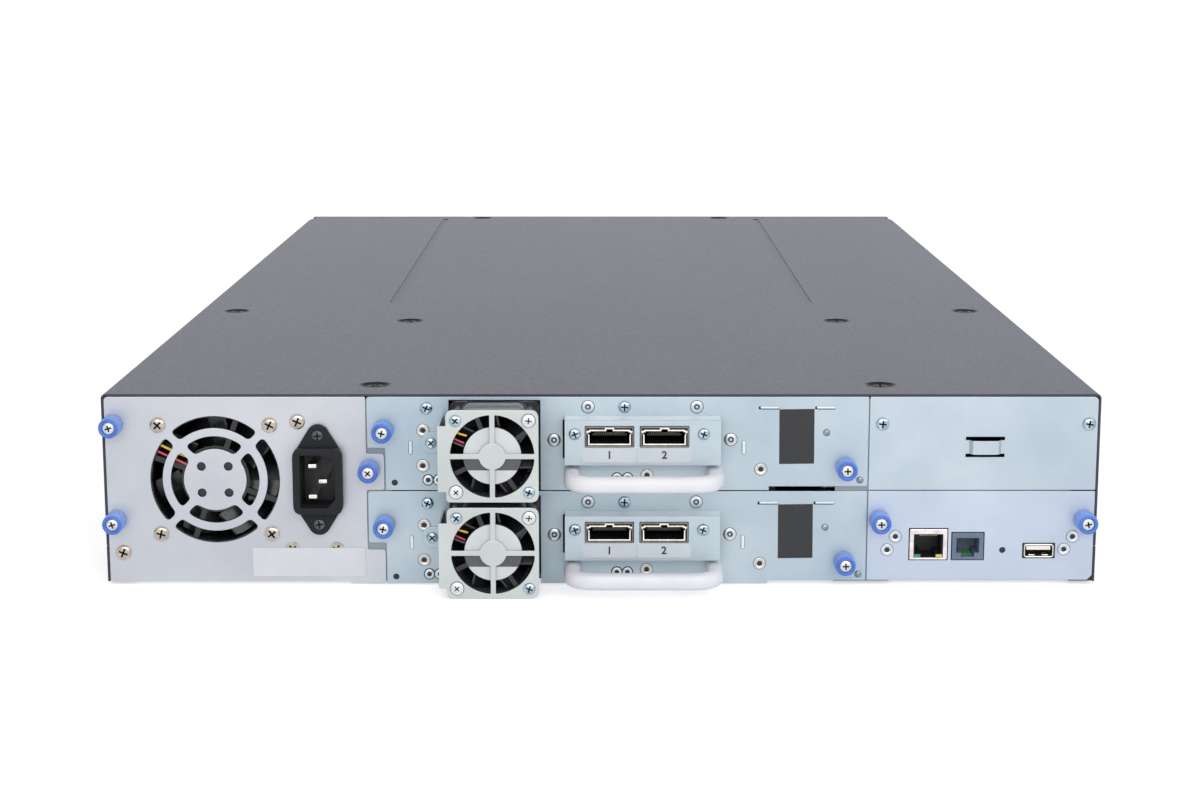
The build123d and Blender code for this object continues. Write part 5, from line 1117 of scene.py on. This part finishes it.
def jackPieces():
    out, base, body = boxMm("ethernet_jack")[0].y, io["base"], "controller"
    u, w, h, deep = io["ethernet"]
    x, lampLow, lampHigh = io["divider"] + u, base + 1.0, base + 2.4
    shield = [rectLoop(x - w / 2, x + w / 2, base, base + h, 0.5),
              rectLoop(x - 6.6, x + 6.6, base + 0.9, base + h - 2.4, 0.3)]
    filler = rectLoop(x - 6.55, x + 6.55, base + 0.95, base + h - 2.45)
    plug = plugLoop(x, base, 12.0, 2.6, 6.2, 1.1, 11.3)
    back = softBox(x - 6.5, x + 6.5, out + 13.0, out + deep - 0.4, base + 1.0, base + h - 2.5, 0.1)
    shapes = [(cutStock(shield, out, out + deep, 0.2), shieldTin),
              (cutStock([filler, plug], out + 0.5, out + 13.0, 0.05), inletPlastic), (back, boxBlack),
              (softBox(x - 6.4, x - 3.5, out + 0.25, out + 3.0, lampLow, lampHigh, 0.2), greenLamp),
              (softBox(x + 3.5, x + 6.4, out + 0.25, out + 3.0, lampLow, lampHigh, 0.2), yellowLamp)]
    makePiece("ethernet_shell", shapes, body, ("ethernet_jack",))
    barRow("ethernet_contacts", [(x - 3.57, out + 6.0, base + 10.9)], body, goldContact, 8, (1.02, 0, 0),
           (0.4, 9.0, 0.3))
    u, w, h, deep = io["serial"]
    x = io["divider"] + u
    shell = [rectLoop(x - w / 2, x + w / 2, base, base + h, 0.5),
             plugLoop(x, base, 10.2, 3.2, 6.0, 1.4, 10.0)]
    shapes = [(cutStock(shell, out, out + 13.0, 0.2), serialPlastic),
              (softBox(x - w / 2, x + w / 2, out + 13.0, out + deep, base, base + h, 0.2), serialPlastic),
              (softBox(x - 2.9, x + 2.9, out + 3.0, out + 12.9, base + 1.5, base + 1.9, 0.1), greenLamp)]
    makePiece("serial_shell", shapes, body, ("serial_jack",))
    barRow("serial_contacts", [(x - 2.55, out + 7.0, base + 9.7)], body, goldContact, 6, (1.02, 0, 0),
           (0.4, 8.0, 0.3))


def usbPieces():
    u, w, h, deep = io["usb"]
    x, z, out, body = io["divider"] + u, io["usbZ"], boxMm("usb_port")[0].y, "controller"
    back = out + deep
    shell = [centredLoop(x, z, w, h, 1.3), centredLoop(x, z, w - 1.1, h - 1.1, 0.9)]
    mouth = [centredLoop(x, z, w + 1.4, h + 0.9, 0.3), shell[0]]
    shapes = [(cutStock(shell, out, back, 0.2), contactSteel),
              (cutStock(mouth, out + 0.3, out + 0.8, 0.02), boxBlack),
              (softBox(x - 5.4, x + 5.4, out + 1.0, back - 1.5, z + 0.2, z + 2.1, 0.15), ivoryPlastic),
              (boxAt(x, z, w - 1.2, h - 1.2, back - 1.6, back - 0.2, 0.1), boxBlack)]
    for side in (x - 3.0, x + 3.0):     # the two springs that grip the plug from below
        spring = softBox(side - 1.5, side + 1.5, out + 0.8, out + 6.0, z - 2.4, z - 1.9, 0.15)
        shapes.append((spring, contactSteel))
    makePiece("usb_shell", shapes, body, ("usb_port",))
    barRow("usb_contacts", [(x - 3.5, out + 5.5, z + 0.12)], body, goldContact, 4, (2.33, 0, 0),
           (1.0, 7.0, 0.12))


# plate over the spare bay: a strip is bowed out of it, and the hole round the strip is shaped like an I
def blankPlate():
    low, high = boxMm("blank_plate")
    rear, x = boxMm("controller_panel")[0].y, io["divider"]
    cx, cz, w, h, strip, rise = io["bridge"]
    outline = rectLoop(low.x - sled["seam"], high.x, low.z, high.z)
    end, neck, a, b = w / 2, w / 2 - 2.4, h / 2, strip / 2
    lower = [(-neck, b), (-neck, -b), (-end, -b), (-end, -a), (end, -a), (end, -b), (neck, -b), (neck, b)]
    hole = [(x + cx + u, cz + v) for u, v in lower + [(end, b), (end, a), (-end, a), (-end, b)]]
    plate = cutStock([softLoop(outline, [0.4, 0.4, 2.2, 0.6]), hole], rear, rear + 1.0, 0.16)
    face = []
    for i in range(17):
        t = i / 8 - 1
        bulge = min(1, 5.0 * (1 - abs(t))) * (1 - 0.18 * t * t)
        face.append((x + cx + t * (w / 2 - 1.1), rear + 0.9 - (rise + 0.9) * bulge))
    bow = face + [(u, min(v + 0.9, rear + 1.0)) for u, v in reversed(face)]
    bridge = cutStock([bow], cz - b, cz + b, 0.15, upright=False)
    makePiece("spare_bay_plate", [(plate, plateZinc), (bridge, plateZinc)], "chassis",
              ("blank_plate",))
    screwHeads("plate_screws", spotsAt(x, rear, 0, io["plateScrews"]), "chassis", zincScrew, 2.95, 1.6,
               seed=2)


controllerPanel()
jackPieces()
usbPieces()
blankPlate()
print("tape library: controller ready")


# ---- case and front: the CAD shapes with their edges eased, and the cover's screws in black cups that paint the shade of their dimples

cover = {"screws": ((-103.2, -356.0), (127.5, -356.0), (-103.2, -162.0), (127.5, -162.0), (-202.6, -126.0),
                    (202.6, -126.0), (-90.7, 362.9), (90.7, 362.9)),
         "seat": 86.0, "radius": 4.3, "height": 1.3,
         "cup": [(0.0, 0.0), (5.3, 0.0), (7.05, 1.36), (6.85, 1.38), (5.1, 0.16), (0.0, 0.16)]}
pan = {"setback": 10.0, "floorTop": 1.25}   # the floor's rear edge stands back from the panels


def easedPiece(name, node, body, finish, ease=0.35, shortest=4.0):
    makePiece(name, [(easedNode(node, ease, shortest), finish)], body, (node,))


def casePieces():
    easedPiece("cover_shell", "top_cover", "chassis", coverPaint)
    low, high = boxMm("base_pan")
    tray = lessBox(easedNode("base_pan", 0.0), low.x - 1, high.x + 1, low.y - 1, low.y + pan["setback"], -1.0,
                   pan["floorTop"])
    makePiece("pan_shell", [(tray, panPaint)], "chassis", ("base_pan",))
    places = [(x, y, cover["seat"]) for x, y in cover["screws"]]
    screwHeads("cover_screws", places, "chassis", blackScrew, cover["radius"], cover["height"], facing=toTop,
               slotName="black_screw", stands=("chassis_screws",), seed=6)
    # black cups line the cover's dimples as painted shade round the screws
    turnedSet("cover_screw_cups", places, "chassis", blackScrew, cover["cup"], sides=36, facing=toTop)


def frontPieces():
    easedPiece("bezel_moulding", "front_bezel", "chassis", bezelPlastic, 0.4, 2.0)
    for side in ("left", "right"):
        easedPiece("magazine_moulding_" + side, side + "_magazine", "magazine_" + side,
                   magazinePlastic)
    easedPiece("mail_drawer_moulding", "mail_slot", "mail_drawer", mailPlastic)
    for key in ("menu_key_1", "menu_key_2", "menu_key_3", "menu_key_4"):
        easedPiece(key + "_cap", key, key + "_body", keyPlastic, shortest=1.0)
    easedPiece("power_key_cap", "power_key", "power_button", keyPlastic, shortest=1.0)


casePieces()
frontPieces()
print("tape library: case and front ready")


# ---- nodes that keep their CAD shape take a finish

kept = ((bayZinc, ("left_divider", "right_divider", "front_frame")), (windowTint, ("operator_display",)),
        (fanBlack, ("psu_fan_frame", "psu_fan_rotor", "fan_rotor_lower", "fan_rotor_upper")),
        (boardGreen, ("controller_board",)), (boxBlack, ("reset_button",)), (railSteel, ("robot_rails",)),
        (pickerPlastic, ("robot_carriage", "robot_turntable", "robot_cradle")),
        (gearPlastic, ("drive_pinion",)),
        (driveSteel, ("tape_drive_lower", "tape_drive_upper")))
for finish, names in kept:
    for name in names:
        for place in nodes[name].material_slots:
            place.material = finish


# ---- studio: pale floor, two soft boxes, and a surround that is white to the viewer and dimmer as a fill

studio = {"floorSize": 6.0, "floorDrop": 0.0004, "floorColour": "#e9e9ec", "lift": 0.56,
          "fillStrength": 0.62, "fillTint": (0.98, 0.985, 1.0, 1.0)}
# each soft box: place, aim, size and energy
softboxes = {"key_softbox": ((0.1, -2.0, 0.8), (0, -0.38, 0.05), (1.8, 0.9), 15.0),
             "side_softbox": ((1.3, -1.2, 0.9), (0, -0.3, 0), (0.9, 0.9), 3.5)}
viewer = {"lens": 67.74, "sensor": 36.0, "place": (-0.000503, -1.37087, 0.27152), "down": 10.669}


# 1 on rays straight from the camera, mirrored or through glass, and 0 on those that only carry light
def viewerRays(tree):
    path = addNode(tree, "ShaderNodeLightPath").outputs
    either = maths(tree, "MAXIMUM", path["Is Camera Ray"], path["Is Glossy Ray"])
    return maths(tree, "MAXIMUM", either, path["Is Transmission Ray"])


def clearedTree(holder):
    holder.use_nodes = True
    holder.node_tree.nodes.clear()
    return holder.node_tree


def studioFloor():
    bm = bmesh.new()
    bmesh.ops.create_grid(bm, x_segments=8, y_segments=8, size=studio["floorSize"])
    bmesh.ops.translate(bm, vec=(0, 0, -studio["floorDrop"]), verts=bm.verts[:])
    mesh = bpy.data.meshes.new("studio_floor")
    bm.to_mesh(mesh)
    bm.free()
    floor = bpy.data.objects.new("studio_floor", mesh)
    scene.collection.objects.link(floor)
    finish = bpy.data.materials.new("matt_studio_floor")
    tree = clearedTree(finish)
    matt = addNode(tree, "ShaderNodeBsdfDiffuse", {"Color": colourOf(studio["floorColour"])})
    power = maths(tree, "MULTIPLY", viewerRays(tree), studio["lift"])
    glow = addNode(tree, "ShaderNodeEmission", links={"Strength": power})
    both = addNode(tree, "ShaderNodeAddShader", links={0: matt, 1: glow})
    addNode(tree, "ShaderNodeOutputMaterial", links={"Surface": both})
    mesh.materials.append(finish)


def studioWorld():
    world = bpy.data.worlds.new("studio_surround")
    tree = clearedTree(world)
    dim = {"Color": studio["fillTint"], "Strength": studio["fillStrength"]}
    fill = addNode(tree, "ShaderNodeBackground", dim)
    white = addNode(tree, "ShaderNodeBackground", {"Color": (1.0, 1.0, 1.0, 1.0), "Strength": 1.0})
    mix = addNode(tree, "ShaderNodeMixShader", links={0: viewerRays(tree), 1: fill, 2: white})
    addNode(tree, "ShaderNodeOutputWorld", links={"Surface": mix})
    scene.world = world


def softLamp(name, place, target, size, energy):
    lamp = bpy.data.lights.new(name, "AREA")
    lamp.shape = "RECTANGLE"
    lamp.size, lamp.size_y = size
    lamp.energy = energy
    holder = bpy.data.objects.new(name, lamp)
    scene.collection.objects.link(holder)
    holder.location = place
    holder.rotation_euler = (Vector(target) - Vector(place)).to_track_quat("-Z", "Y").to_euler()


def studioCamera():
    data = bpy.data.cameras.new("studio_camera")
    data.lens, data.sensor_width = viewer["lens"], viewer["sensor"]
    camera = bpy.data.objects.new("studio_camera", data)
    scene.collection.objects.link(camera)
    camera.location = viewer["place"]
    camera.rotation_euler = (radians(90 - viewer["down"]), 0.0, 0.0)
    scene.camera = camera


studioFloor()
studioWorld()
for name, settings in softboxes.items():
    softLamp(name, *settings)
studioCamera()
scene.view_settings.view_transform = "Standard"

print("tape library: done")
